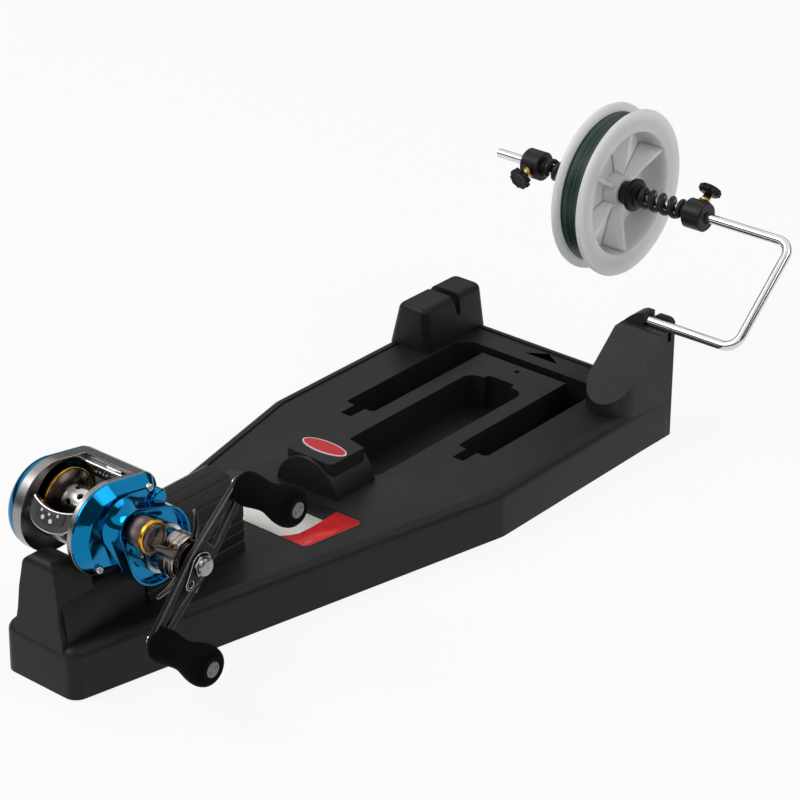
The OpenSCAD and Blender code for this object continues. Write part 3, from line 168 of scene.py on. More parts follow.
def blend_colours(tree, share, a, b):
    return place(tree, "ShaderNodeMix", data_type="RGBA", Factor=share, A=a, B=b).outputs["Result"]


def object_noise(tree, scale, detail):
    """Noise in the part's own coordinates."""
    coord = tree.nodes.new("ShaderNodeTexCoord").outputs["Object"]
    noise = place(tree, "ShaderNodeTexNoise", Vector=coord, Scale=scale, Detail=detail, Roughness=0.6)
    return noise.outputs["Fac"]


# Shader groups that several finishes share
def new_group(name, ins, outs):
    """A group with its inputs by name and first value, and its outputs by name and kind."""
    group = bpy.data.node_groups.new(name, "ShaderNodeTree")
    for label, value in ins.items():
        kind = COLOUR if isinstance(value, tuple) else NUMBER
        made = group.interface.new_socket(label, in_out="INPUT", socket_type=kind)
        made.default_value = value
    for label, kind in outs.items():
        group.interface.new_socket(label, in_out="OUTPUT", socket_type=kind)
    return group, group.nodes.new("NodeGroupInput").outputs, group.nodes.new("NodeGroupOutput").inputs


def make_blotch():
    """Slow drift between two colours, as in moulded or handled surfaces."""
    g, given, out = new_group("blotch", {"Color A": BLACK, "Color B": WHITE, "Scale": 60},
                              {"Color": COLOUR, "Fac": NUMBER})
    drift = ramp(g, object_noise(g, given["Scale"], 3), *DRIFT_EDGES)
    fill(g, out["Color"], blend_colours(g, drift, given["Color A"], given["Color B"]))
    fill(g, out["Fac"], drift)
    return g


def make_pebble():
    """Height of a spark-eroded mould's pebbles."""
    g, given, out = new_group("pebble", {"Scale": 900}, {"Height": NUMBER})
    coord = g.nodes.new("ShaderNodeTexCoord").outputs["Object"]
    cells = place(g, "ShaderNodeTexVoronoi", feature="SMOOTH_F1", Smoothness=0.6, Vector=coord,
                  Scale=given["Scale"])
    noise = object_noise(g, given["Scale"], 2)
    fill(g, out["Height"], reckon(g, "ADD", cells.outputs["Distance"], noise))
    return g


def make_edge_highlight():
    """Painted edge highlight: sharp edges lightened towards a second colour, broken up by noise."""
    g, given, out = new_group("edge highlight", {"Color": BLACK, "Worn": WHITE, "Amount": 0.5, "Scale": 300},
                              {"Color": COLOUR})
    sharp = ramp(g, g.nodes.new("ShaderNodeNewGeometry").outputs["Pointiness"], *HIGHLIT_EDGES)
    broken = reckon(g, "MULTIPLY", sharp, object_noise(g, given["Scale"], 4))
    mask = reckon(g, "MULTIPLY", broken, given["Amount"])
    fill(g, out["Color"], blend_colours(g, mask, given["Color"], given["Worn"]))
    return g


BLOTCH = make_blotch()
PEBBLE = make_pebble()
EDGE_HIGHLIGHT = make_edge_highlight()


def use(tree, group, **values):
    return place(tree, "ShaderNodeGroup", node_tree=group, **values).outputs


def finish(name, shade_a, shade_b, rough, scale=60, highlight_colour=None, grain=0, bump=0.6, rough_spread=0.06,
           metallic=0, coat=0, specular=0.5, **more):
    """Colour and roughness that drift. With an edge colour given, sharp edges are painted lighter as a
    painted highlight, and grain is its pebbles' scale.
    """
    m = bpy.data.materials.new(name)
    m.use_nodes = True
    t = m.node_tree
    shader = t.nodes["Principled BSDF"]
    drift = use(t, BLOTCH, Color_A=(*shade_a, 1), Color_B=(*shade_b, 1), Scale=scale)
    colour = drift["Color"]
    # Painted edge highlight on the sharp edges.
    if highlight_colour:
        colour = use(t, EDGE_HIGHLIGHT, Color=colour, Worn=(*highlight_colour, 1))["Color"]
    roughness = ramp(t, drift["Fac"], low=rough - rough_spread, high=rough + rough_spread)
    adjust(t, shader, Base_Color=colour, Roughness=roughness, Metallic=metallic, Coat_Weight=coat,
           Coat_Roughness=COAT_ROUGH, Specular_IOR_Level=specular, **more)
    if grain:
        height = use(t, PEBBLE, Scale=grain)["Height"]
        relief = place(t, "ShaderNodeBump", Height=height, Strength=bump, Distance=GRAIN_DEPTH)
        t.links.new(relief.outputs["Normal"], shader.inputs["Normal"])
    return m


# The lighter edge colours given below are painted edge highlights.
base_plastic = finish("base_plastic", (0.0095, 0.0095, 0.01), (0.0135, 0.0135, 0.014), 0.42, scale=14,
                      highlight_colour=(0.026, 0.026, 0.028), grain=1100, bump=0.35, specular=0.19)
# Near black for the walls and floor of the arrow's recess in the deck: painted shade.
recess_painted_shade = finish("recess_painted_shade", (0.001, 0.001, 0.001), (0.002, 0.002, 0.002), 0.7, specular=0.02)
foot_rubber = finish("foot_rubber", (0.012, 0.012, 0.012), (0.02, 0.02, 0.02), 0.8)
black_plastic = finish("black_plastic", (0.006, 0.006, 0.0065), (0.01, 0.01, 0.0105), 0.4,
                       highlight_colour=(0.03, 0.03, 0.03), specular=0.2)
black_steel = finish("black_steel", (0.01, 0.01, 0.01), (0.022, 0.022, 0.022), 0.32, scale=200,
                     specular=0.3)
chrome = finish("wire_chrome", (0.74, 0.75, 0.76), (0.66, 0.67, 0.69), 0.12, metallic=1, rough_spread=0.03)
bright_steel = finish("bright_steel", (0.6, 0.6, 0.61), (0.5, 0.5, 0.52), 0.2, metallic=1)
nut_steel = finish("nut_steel", (0.36, 0.35, 0.35), (0.27, 0.27, 0.27), 0.24, metallic=1,
                   highlight_colour=(0.6, 0.6, 0.6))
brass = finish("brass", (0.62, 0.42, 0.15), (0.5, 0.33, 0.12), 0.28, metallic=1, scale=300)
silver_coat = finish("frame_silver", (0.32, 0.31, 0.3), (0.25, 0.24, 0.23), 0.3, metallic=1, coat=0.1)
spool_alloy = finish("spool_alloy", (0.66, 0.66, 0.65), (0.55, 0.54, 0.53), 0.22, metallic=1)
gold = finish("gold_anodised", (0.78, 0.42, 0.045), (0.68, 0.34, 0.035), 0.2, metallic=1)
gunmetal = finish("gunmetal", (0.075, 0.055, 0.052), (0.11, 0.082, 0.075), 0.27, metallic=1, coat=0.2,
                  highlight_colour=(0.3, 0.26, 0.24))
pewter = finish("pewter", (0.44, 0.39, 0.37), (0.34, 0.3, 0.28), 0.17, metallic=1, scale=220)
blue_anodised = finish("blue_anodised", (0.0, 0.145, 0.32), (0.0, 0.185, 0.38), 0.09, metallic=1,
                       coat=0.12, scale=40)
handle_black = finish("handle_black", (0.004, 0.004, 0.0045), (0.008, 0.008, 0.0085), 0.36, specular=0.12)
knob_foam = finish("knob_foam", (0.0015, 0.0015, 0.0015), (0.003, 0.003, 0.003), 0.8, grain=1400,
                   specular=0.05)
cap_grey = finish("cap_grey", (0.12, 0.115, 0.11), (0.17, 0.16, 0.155), 0.4, metallic=0.6)
pad_grey = finish("pad_grey", (0.035, 0.035, 0.04), (0.05, 0.05, 0.055), 0.5, specular=0.3)
spool_plastic = finish("spool_plastic", (0.85, 0.86, 0.84), (0.88, 0.89, 0.87), 0.35,
                       Subsurface_Weight=0.8, Subsurface_Scale=0.02, Subsurface_Radius=(1, 1, 1))


def wound_line():
    """Dark green line whose turns are painted paler here and there across the spool: painted highlights on
    its strands.
    """
    m = finish("line_green", (0.004, 0.02, 0.015), (0.008, 0.03, 0.024), 0.34, scale=500)
    t = m.node_tree
    base = t.nodes["Principled BSDF"].inputs["Base Color"]
    coord = t.nodes.new("ShaderNodeTexCoord").outputs["Object"]
    across = place(t, "ShaderNodeSeparateXYZ", coord).outputs["X"]
    turns = place(t, "ShaderNodeTexNoise", noise_dimensions="1D", W=across, Scale=900, Detail=3)
    glint = ramp(t, turns.outputs["Fac"], *GLINT_TURNS)
    fill(t, base, blend_colours(t, glint, base.links[0].from_socket, GLINT_COLOUR))
    return m


line_green = wound_line()
label_print = finish("label_print", (0.78, 0.77, 0.7), (0.83, 0.82, 0.76), 0.3, specular=0.3)
badge_red = finish("badge_red", (0.56, 0.006, 0.02), (0.62, 0.012, 0.025), 0.3, specular=0.25)
silver_bright = finish("silver_bright", (0.6, 0.6, 0.6), (0.5, 0.5, 0.5), 0.16, metallic=1, coat=0.4)
white_dot = finish("white_dot", (0.75, 0.75, 0.74), (0.7, 0.7, 0.69), 0.3)
# Lighter grey for the crank arm's rounded edges: a painted edge highlight.
painted_edge_highlight = finish("painted_edge_highlight", (0.06, 0.06, 0.063), (0.1, 0.1, 0.105), 0.34, scale=200, metallic=0.6)
label_black = finish("label_black", (0.008, 0.008, 0.009), (0.012, 0.012, 0.013), 0.3, specular=0.2)
label_red = finish("label_red", (0.72, 0.025, 0.03), (0.78, 0.035, 0.035), 0.3, specular=0.25)
badge_white = finish("badge_white", (0.8, 0.74, 0.73), (0.76, 0.7, 0.69), 0.3, specular=0.3)

# The CAD nodes that show as they are. All others have a fuller mesh below.
NODE_FINISH = {
    foot_rubber: ["rubber_feet"],
    black_plastic: ["worm_gear"],
    brass: ["pinion_gear", "drive_gear"],
    spool_alloy: ["gear_plate", "worm_shaft"],
    bright_steel: ["guide_bar", "guide_rod", "spool_shaft", "spool_bearings", "drive_shaft",
                   "knob_spindles"],
    pad_grey: ["drag_washer"],
}


def dress_nodes():
    for finish_of, names in NODE_FINISH.items():
        for name in names:
            mesh = node[name].data
            mesh.materials.clear()
            mesh.materials.append(finish_of)
            for poly in mesh.polygons:
                poly.material_index = 0


def floor_paper():
    """Pale paper that the camera sees nearly white, with the object's shadow kept."""
    m = finish("floor_paper", (0.86, 0.86, 0.86), (0.88, 0.88, 0.88), 0.9, scale=2)
    t = m.node_tree
    path = t.nodes.new("ShaderNodeLightPath").outputs
    seen = reckon(t, "MAXIMUM", path["Is Camera Ray"], path["Is Glossy Ray"])
    glow = place(t, "ShaderNodeEmission", Strength=BACKGROUND).outputs[0]
    shown = place(t, "ShaderNodeMixShader", reckon(t, "MULTIPLY", seen, PAPER_GLOW),
                  t.nodes["Principled BSDF"].outputs[0], glow)
    fill(t, t.nodes["Material Output"].inputs["Surface"], shown.outputs[0])
    return m


def add_floor():
    mesh = bpy.data.meshes.new("floor")
    corners = [(x, y, 0) for x, y in rectangle(-PAPER_HALF, PAPER_HALF, -PAPER_HALF, PAPER_HALF)]
    mesh.from_pydata(corners, [], [(0, 1, 2, 3)])
    mesh.materials.append(floor_paper())
    add_object("floor", mesh)


# Outlines in millimetres
def mix(a, b, t):
    return a + (b - a) * t


def tangent_angle(a, b):
    run = hypot(b[0] - a[0], b[1] - a[1])
    return atan2(b[1] - a[1], b[0] - a[0]) - acos((a[2] - b[2]) / run)


def around(centre, r, a, across=0.0):
    """The place r out from the centre at the angle a, and from there across to the left."""
    c, s = cos(a), sin(a)
    return centre[0] + r * c - across * s, centre[1] + r * s + across * c


def belt(circles, n=8):
    """Line round circles (x, y, r) that are listed anticlockwise, with n steps on each."""
    points = []
    for i, c in enumerate(circles):
        start = tangent_angle(circles[i - 1], c)
        sweep_angle = (tangent_angle(c, circles[(i + 1) % len(circles)]) - start) % tau
        points += [around(c, c[2], start + sweep_angle * k / n) for k in range(n + 1)]
    return points


def inset(circles, d):
    return [(x, y, r - d) for x, y, r in circles]


def rounded_box(x0, x1, y0, y1, r):
    return [(x0 + r, y0 + r, r), (x1 - r, y0 + r, r), (x1 - r, y1 - r, r), (x0 + r, y1 - r, r)]


def arc(cx, cy, r, start, end, n):
    return [around((cx, cy), r, radians(mix(start, end, k / n))) for k in range(n + 1)]


def circle(cx, cy, r, n=24):
    return arc(cx, cy, r, 0, 360 - 360 / n, n - 1)


def oval(cx, cy, rx, ry, n):
    turns = [tau * k / n for k in range(n)]
    return [(cx + rx * cos(a), cy + ry * sin(a)) for a in turns]


def rectangle(x0, x1, y0, y1):
    return [(x0, y0), (x1, y0), (x1, y1), (x0, y1)]


def arch(half, low, top, r, n):
    """Upright outline with round shoulders."""
    return ([(-half, low), (half, low)] + arc(half - r, top - r, r, 0, 90, n)
            + arc(r - half, top - r, r, 90, 180, n))


def mirrored(half):
    """An outline from its right half, which runs upwards."""
    return half + [(-x, z) for x, z in reversed(half)]


def spline(points, n):
    """Smooth line through the points (Catmull-Rom), n steps between neighbours."""
    ends = [points[0]] + list(points) + [points[-1]]
    line = []
    for four in zip(ends, ends[1:], ends[2:], ends[3:]):
        for k in range(n):
            t = k / n
            line.append(tuple(0.5 * ((2 * b) + (c - a) * t + (2 * a - 5 * b + 4 * c - d) * t * t
                                     + (3 * b - a - 3 * c + d) * t ** 3) for a, b, c, d in zip(*four)))
    return line + [points[-1]]


# Mesh builders. Each takes millimetres and gives an object in metres.
def new_piece(name, points, faces, finish_of):
    mesh = bpy.data.meshes.new(name)
    mesh.from_pydata([Vector(p) * MM for p in points], [], faces)
    if finish_of:
        mesh.materials.append(finish_of)
    repair = bmesh.new()
    repair.from_mesh(mesh)
    bmesh.ops.remove_doubles(repair, verts=repair.verts, dist=WELD)
    bmesh.ops.recalc_face_normals(repair, faces=repair.faces)
    repair.to_mesh(mesh)
    repair.free()
    mesh.shade_smooth()
    return add_object(name, mesh)


def loft(name, rings, finish_of=None):
    """Skin through rings of points, with flat ends."""
    n = len(rings[0])
    points = [p for ring in rings for p in ring]
    faces = [(i * n + j, i * n + (j + 1) % n, (i + 1) * n + (j + 1) % n, (i + 1) * n + j)
             for i in range(len(rings) - 1) for j in range(n)]
    faces += [tuple(range(n - 1, -1, -1)), tuple(range(len(points) - n, len(points)))]
    return new_piece(name, points, faces, finish_of)


def prism(name, outline, low, high, along, finish_of=None):
    """Flat outline made solid along X, Y or Z. The outline is in the two other axes, in their order."""
    at = "XYZ".index(along)
    return loft(name, [[(*p[:at], t, *p[at:]) for p in outline] for t in (low, high)], finish_of)


def cutter(outline, low, high, along):
    return prism("cut", outline, low, high, along)


def turned(name, profile, centre, finish_of=None, n=96, at=0, way=1):
    """Closed half section turned about an axis along X through centre (y, z).
    It is given as (x, radius), with x from the place at and towards way."""
    m = len(profile)
    points = []
    for k in range(n):
        points += [(at + way * x, *around(centre, r, tau * k / n)) for x, r in profile]
    faces = [(i * m + j, i * m + (j + 1) % m, ((i + 1) % n) * m + (j + 1) % m, ((i + 1) % n) * m + j)
             for i in range(n) for j in range(m)]
    return new_piece(name, points, faces, finish_of)


def settle(obj):
    """The object with its modifiers worked into its mesh."""
    shape = bpy.data.meshes.new_from_object(obj.evaluated_get(bpy.context.evaluated_depsgraph_get()))
    obj.modifiers.clear()
    obj.data = shape
    return obj


def carve(obj, tools, way="DIFFERENCE"):
    """Cuts the tools out of obj, joins them to it or keeps what they share, and deletes them."""
    for tool in tools:
        cut = obj.modifiers.new("cut", "BOOLEAN")
        cut.operation = way
        cut.solver = "EXACT"
        cut.object = tool
    settle(obj)
    for tool in tools:
        bpy.data.objects.remove(tool)
    return obj


def soften(obj, width, segments=3, angle=32):
    """Rounds every edge sharper than angle, and shades by true face size."""
    bevel = obj.modifiers.new("rounding", "BEVEL")
    bevel.width = width * MM
    bevel.segments = segments
    bevel.limit_method = "ANGLE"
    bevel.angle_limit = radians(angle)
    bevel.harden_normals = True
    obj.data.shade_smooth()
    return obj


# Base, in millimetres as in the CAD source
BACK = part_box("base_shell")[1][1] / MM
FRONT = -BACK
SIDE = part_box("base_shell")[1][0] / MM
RIM_H = 29.3
DECK_H = 28.3
SHOULDER_R = 6
RIM_W = 1.0
FLOOR_H = 7
TAPER_END = BACK - 159.1
DRAFT = 0.5
SUNK = DECK_H - 12
RAIL_TOP = 51
FOOT_TOP = 54
FOOT_FRONT = FRONT + 15
FOOT_GAP = 0.4
CLAMP_FACE = -154.6
DOME_FRONT = BACK - 228
PAD_MID = DOME_FRONT + 15.5
BADGE_FLOOR = 47.6
LABEL_BACK = BACK - 235.3
LABEL_SINK = 0.6
QUARTER = [radians(7.5 * k) for k in range(13)]


def base_outline():
    corner, taper, front_half = 8, 20, 26.8
    return [(-front_half + corner, FRONT + corner, corner), (front_half - corner, FRONT + corner, corner),
            (SIDE - taper, TAPER_END, taper), (SIDE - corner, BACK - corner, corner),
            (-SIDE + corner, BACK - corner, corner), (-SIDE + taper, TAPER_END, taper)]


def channel_cutters():
    """The storage channels, the tool slot and the hole that are let into the deck."""
    top = RIM_H + 5
    arm_back, arm_front = BACK - 33.5, BACK - 135
    inner, outer = 31.5, 52.5
    outlines = []
    for s in (-1, 1):
        a, b = sorted((s * inner, s * outer))
        outlines.append(belt(rounded_box(a, b, arm_front, arm_back + 1, 3)))
        a, b = sorted((s * (inner + 6.3), s * (inner + 14.2)))
        outlines.append(belt(rounded_box(a, b, arm_front - 12.5, arm_front + 3, 1.5)))
    cross = [(-outer, arm_back), (outer, arm_back), (outer - 8, arm_back + 8), (8 - outer, arm_back + 8)]
    outlines += [cross, belt(rounded_box(-20.5, 20.5, BACK - 195, BACK - 59, 8)),
                 belt(rounded_box(-10.2, 10.2, BACK - 67, BACK - 54.5, 3)),
                 arc(0, BACK - 40.2, 1.75, 0, 348, 30)]
    arrow = cutter([(-12.8, BACK - 16.8), (12.8, BACK - 16.8), (0, BACK - 8.8)], DECK_H - 3, top, "Z")
    return [cutter(outline, FLOOR_H, top, "Z") for outline in outlines] + [arrow]


def label_outline(gap=0.0):
    y0, y1, r = LABEL_BACK - 41, LABEL_BACK, 4
    front, back = 43.2 - r, 48.8 - r
    corners = [(-front, y0 + r), (front, y0 + r), (back, y1 - r), (-back, y1 - r)]
    return belt([(x, y, r + gap) for x, y in corners])


def in_arrow(face):
    """Whether a face of the deck lies in the arrow that is let into its back edge."""
    x, y, z = face.center / MM
    return abs(x) < 13 and BACK - 17 < y < BACK - 8.6 and z < DECK_H - 0.05


def make_deck():
    outline = base_outline()
    layers = [(0, 1.2), (0.8, 0)]
    for k in range(11):
        a = radians(9 * k)
        high = RIM_H - SHOULDER_R + SHOULDER_R * sin(a)
        layers.append((high, DRAFT + SHOULDER_R * (1 - cos(a))))
    inner = DRAFT + SHOULDER_R + RIM_W
    layers += [(RIM_H, inner), (DECK_H, inner + 0.3)]
    rings = [[(x, y, z) for x, y in belt(inset(outline, d), 12)] for z, d in layers]
    deck = loft("base_block", rings, base_plastic)
    carve(deck, channel_cutters() + [cutter(label_outline(0.3), DECK_H - LABEL_SINK, RIM_H + 5, "Z")])
    # The arrow's recess faces take the near-black finish: painted shade.
    deck.data.materials.append(recess_painted_shade)
    for face in deck.data.polygons:
        if in_arrow(face):
            face.material_index = 1
    return soften(deck, 0.35)


def make_left_post():
    """Tapering post with a round shoulder and the groove that keeps the wire's free end."""
    x0, y1 = -SIDE + DRAFT, BACK - DRAFT
    foot = (x0, x0 + 31.2, BACK - 58, y1)
    top = (x0 + 6.3, x0 + 27.9, BACK - 56.7, BACK - 1.7)
    high, r = 56.2, 4
    shoulder = [radians(a) for a in range(0, 91, 10)]
    layers = [(SUNK, foot, 0)]
    for z, d in [(DECK_H, 0)] + [(high - r * (1 - sin(a)), r * (1 - cos(a))) for a in shoulder]:
        t = (z - DECK_H) / (high - DECK_H)
        layers.append((z, [mix(p, q, t) for p, q in zip(foot, top)], d))
    rings = [[(x, y, z) for x, y in belt(inset(rounded_box(*b, 5), d), 8)] for z, b, d in layers]
    post = loft("left_post", rings, base_plastic)
    y, h, low = BACK - 27, 3, high - 13
    groove = [(y + h, high + 5), (y - h, high + 5), (y - h, high - 1), (y + h - 3, low), (y + h - 1, low),
              (y + h, low + 3)]
    carve(post, [cutter(groove, -SIDE - 5, -SIDE + 40, "X")])
    return soften(post, 0.8)


RIGHT_POST_IN = SIDE - 32
RIGHT_POST_FRONT = BACK - 55
SHELF_H = 70
SHELF_END = RIGHT_POST_FRONT + 43
HOOD_RISE = 7
EAR_RISE = 6.2
LEG = (BACK - 7, 72)
BORE_R = 2.96
HOOD_SHAPE = [(0, -0.35), (0.12, -0.08), (0.24, 0.2), (0.36, 0.44), (0.48, 0.66), (0.61, 0.82),
              (0.74, 0.94), (0.84, 0.985), (0.93, 1), (1, 0.88)]


def post_side(rise, start, lead):
    """Side outline of the right post: tongue-shaped slope, shelf, then a top that rises behind start."""
    y0 = RIGHT_POST_FRONT
    y1 = y0 + 38.5
    slope = spline([(y1 + 2, SHELF_H), (y1 + 0.6, SHELF_H - 0.5), (y1 - 1, SHELF_H - 2.2),
                    (y0 + 19.25, 51.7), (y0, 35.5)], 5)
    return ([(y0 - 1, 0), (BACK + 1, 0), (BACK + 1, SHELF_H + rise - 2)]
            + arc(BACK - 2, SHELF_H + rise - 2, 2, 0, 90, 5)
            + [(start + lead, SHELF_H + rise), (start, SHELF_H)] + slope + [(y0 - 1, 35.5)])


def make_right_post():
    """Post that the wire's leg lies in: a hood over its inner half, an ear over its outer half."""
    r, ear_r = 16, 7
    hood = RIGHT_POST_IN + r
    side = SIDE - DRAFT
    plan = belt([(side - r, RIGHT_POST_FRONT + r, r - DRAFT), (side - 2, BACK - DRAFT - 2, 2),
                 (RIGHT_POST_IN + 2, BACK - DRAFT - 2, 2)], 20)
    post = prism("right_post", plan, 0, SHELF_H + 10, "Z", base_plastic)
    inner = cutter(post_side(HOOD_RISE, SHELF_END, 1.5), RIGHT_POST_IN - 1, hood, "X")
    line = [(RIGHT_POST_IN + 16 * t, SHELF_H + HOOD_RISE * h) for t, h in HOOD_SHAPE]
    line = [(hood + 0.5, -1), (RIGHT_POST_IN - 1.5, -1), (RIGHT_POST_IN - 1.5, line[0][1] - 2), *line,
            (hood + 0.5, line[-1][1])]
    carve(inner, [cutter(line, BACK - 60, BACK + 5, "Y")], "INTERSECT")
    ear = cutter(post_side(EAR_RISE, LEG[0], 0.3), hood - 0.01, SIDE, "X")
    top = SHELF_H + EAR_RISE - ear_r
    crown = ([(hood - 1, -1), (SIDE, -1)] + arc(SIDE - ear_r, top, ear_r, 0, 90, 8)
             + arc(hood + ear_r, top, ear_r, 90, 180, 8))
    carve(ear, [cutter(crown, BACK - 60, BACK + 5, "Y")], "INTERSECT")
    carve(inner, [ear], "UNION")
    carve(post, [inner], "INTERSECT")
    y, z = LEG
    carve(post, [cylinder("cut", SIDE - 22.3, SIDE + 2, BORE_R, LEG, n=32),
                 cutter(rectangle(y - BORE_R, y + BORE_R, z, z + 12), hood, SIDE + 2, "X"),
                 cutter(rectangle(y - 1.7, y + 1.7, z - 9.2, z), SIDE - 9, SIDE + 2, "X")])
    return soften(post, 1.2)


def make_hump():
    """Rounded hump at the front, the reel's raised seat behind it and the rail that the clamp slides on."""
    y0 = FRONT + DRAFT
    flank = [(17.3, SUNK), (17.3, DECK_H), (14.9, 40), (13.7, 53)]
    front_view = mirrored(flank + arc(4.3, 65.5, 7, 0, 90, 10))
    hump = prism("reel_hump", front_view, FRONT - 1, CLAMP_FACE, "Y", base_plastic)
    top_y = y0 + 13
    fall = spline([(top_y + 14, 57), (top_y + 11.9, 64.7), (top_y + 7, 69.4), (top_y, 72.5)], 4)
    side_view = ([(y0, SUNK), (CLAMP_FACE, SUNK), (CLAMP_FACE, RAIL_TOP), (top_y + 14, RAIL_TOP)] + fall
                 + arc(y0 + 8, 67.5, 5, 90, 180, 8))
    carve(hump, [cutter(side_view, -18, 18, "X")], "INTERSECT")
    carve(hump, [foot_pocket()])
    seat_line = mirrored([(18.2, SUNK), (18.2, DECK_H), (16.4, 46), (12.75, 53)])
    seat = prism("reel_seat", seat_line, FRONT + 5, CLAMP_FACE, "Y", base_plastic)
    carve(seat, [foot_pocket()])
    rail = prism("clamp_rail", arch(14, SUNK, RAIL_TOP, 8, 10), CLAMP_FACE - 1, -86, "Y", base_plastic)
    return [soften(hump, 3.4, 5, 30), soften(seat, 1.2), soften(rail, 0.8)]


def foot_pocket():
    y = FOOT_FRONT - FOOT_GAP
    return cutter(rectangle(-8.9, 8.9, y, FOOT_FRONT + 87), RAIL_TOP, FOOT_TOP + FOOT_GAP, "Z")


def make_dome():
    """Dome in front of the label, with the pad that holds the badge."""
    y, middle, r = DOME_FRONT, 25.5, 22.3
    dome = prism("dome", arc(0, middle, r, -20, 200, 40), y, y + 33, "Y", base_plastic)
    outline = [(-15.1, y + 2), (15.1, y + 2), (17.1, y + 4), (17.1, y + 29), (8.5, y + 31), (0, y + 31.6),
               (-8.5, y + 31), (-17.1, y + 29), (-17.1, y + 4)]
    pad = prism("dome_pad", outline, 36, 48.2, "Z", base_plastic)
    carve(pad, [cutter(oval(0, PAD_MID, 15.8, 6.3, 48), BADGE_FLOOR, 50, "Z")])
    return [soften(dome, 1), soften(pad, 0.9)]


def make_base():
    pieces = [make_deck(), make_left_post(), make_right_post()] + make_hump() + make_dome()
    hand_over(pieces, ["base_shell"], "base", "base_plastic")


# Reel. Outlines are measured in Y and Z from the line spool's axis.
REEL = (-172, 84)
DRIVE = (REEL[0] + 17, REEL[1] - 17.5)
FRAME_CIRCLES = [(-6, -2, 25), (22, -14, 12), (19, 9.2, 9.6)]
HOUSING_CIRCLES = [(0, 0, 10.4), (17, -17.5, 21.5)]
LEFT_RING, RIGHT_RING = (-26, -20), (13, 16)
COVER_TOP = 22
HOUSING_TOP = 30


def at_reel(outline):
    return [(y + REEL[0], z + REEL[1]) for y, z in outline]


def reel_belt(circles, d=0.0, n=48):
    return at_reel(belt(inset(circles, d), n))


def flats(outline, n, facet):
    """A belt of n steps a circle whose curves are drawn as flats of facet steps each."""
    line = []
    for k in range(len(outline)):
        start = k - k % (n + 1)
        low = start + (k - start) // facet * facet
        high = min(low + facet, start + n)
        t = (k - low) / max(1, high - low)
        line.append(tuple(mix(a, b, t) for a, b in zip(outline[low], outline[high])))
    return line


def radial_holes(x, centre, turns, r, low, high):
    """Round cutters that point out from an axis along X."""
    holes = []
    for turn in turns:
        hole = cutter(circle(0, 0, r), low, high, "Z")
        hole.matrix_world = Matrix.Translation(Vector((x, *centre)) * MM) @ Matrix.Rotation(turn, 4, "X")
        holes.append(hole)
    bpy.context.view_layer.update()
    return holes


def tube(name, x0, x1, bore, r, centre, finish_of=None, n=96):
    return turned(name, [(x0, bore), (x0, r), (x1, r), (x1, bore)], centre, finish_of, n)


def cylinder(name, x0, x1, r, centre, finish_of=None, n=64):
    return tube(name, x0, x1, 0, r, centre, finish_of, n)


def make_reel_frame():
    """Two rings that a belly, a hood, a stem and the foot join."""
    pieces = []
    bells = [[(-1, 0), (-1, 18), (2.8, 18), (7, 22.2), (7, 0)],
             [(-1, 0), (-1, 19.5), (2, 18), (4, 18), (4, 0)]]
    for side, (x0, x1), bell in zip(("left", "right"), (LEFT_RING, RIGHT_RING), bells):
        plate = prism(f"{side}_frame_ring", reel_belt(FRAME_CIRCLES), x0, x1, "X", silver_coat)
        carve(plate, [turned("cut", bell, REEL, at=x0)])
        pieces.append(soften(plate, 1.1, 4))
    x0, x1 = LEFT_RING[1] - 1, RIGHT_RING[0] + 1
    outside, inside, hood_thick = 21.2, 18.6, 2.4
    belly_line = at_reel(arc(0, 0, outside, 165, 290, 40) + arc(0, 0, inside, 290, 165, 40))
    belly = prism("frame_belly", belly_line, x0, x1, "X", silver_coat)
    hood = prism("frame_hood", reel_belt(FRAME_CIRCLES), x0, x1, "X", silver_coat)
    carve(hood, [cutter(reel_belt(FRAME_CIRCLES, hood_thick), x0 - 1, x1 + 1, "X")])
    y, z = REEL[0] + 15.5, REEL[1] + 13
    carve(hood, [cutter(rectangle(y, y + 30, z, z + 30), x0 - 2, x1 + 2, "X")], "INTERSECT")
    y, z = REEL
    stem = prism("frame_stem", belt(rounded_box(-7, 7, y - 7, y + 9, 2)), 52.5, z - 20, "Z", silver_coat)
    foot_line = belt(rounded_box(-8.5, 8.5, FOOT_FRONT, FRONT + 101, 3))
    foot = prism("reel_foot", foot_line, RAIL_TOP, FOOT_TOP, "Z", silver_coat)
    return pieces + [soften(belly, 0.6), soften(hood, 1.1, 4), soften(stem, 1.2), soften(foot, 0.6)]


def make_palm_cover():
    rings = []
    for a in QUARTER:
        x = LEFT_RING[0] - 7 * sin(a)
        rings.append([(x, y, z) for y, z in reel_belt(FRAME_CIRCLES, 0.15 + 5.5 * (1 - cos(a)))])
    return [soften(loft("palm_shell", rings, blue_anodised), 0.4, 3, 50)]


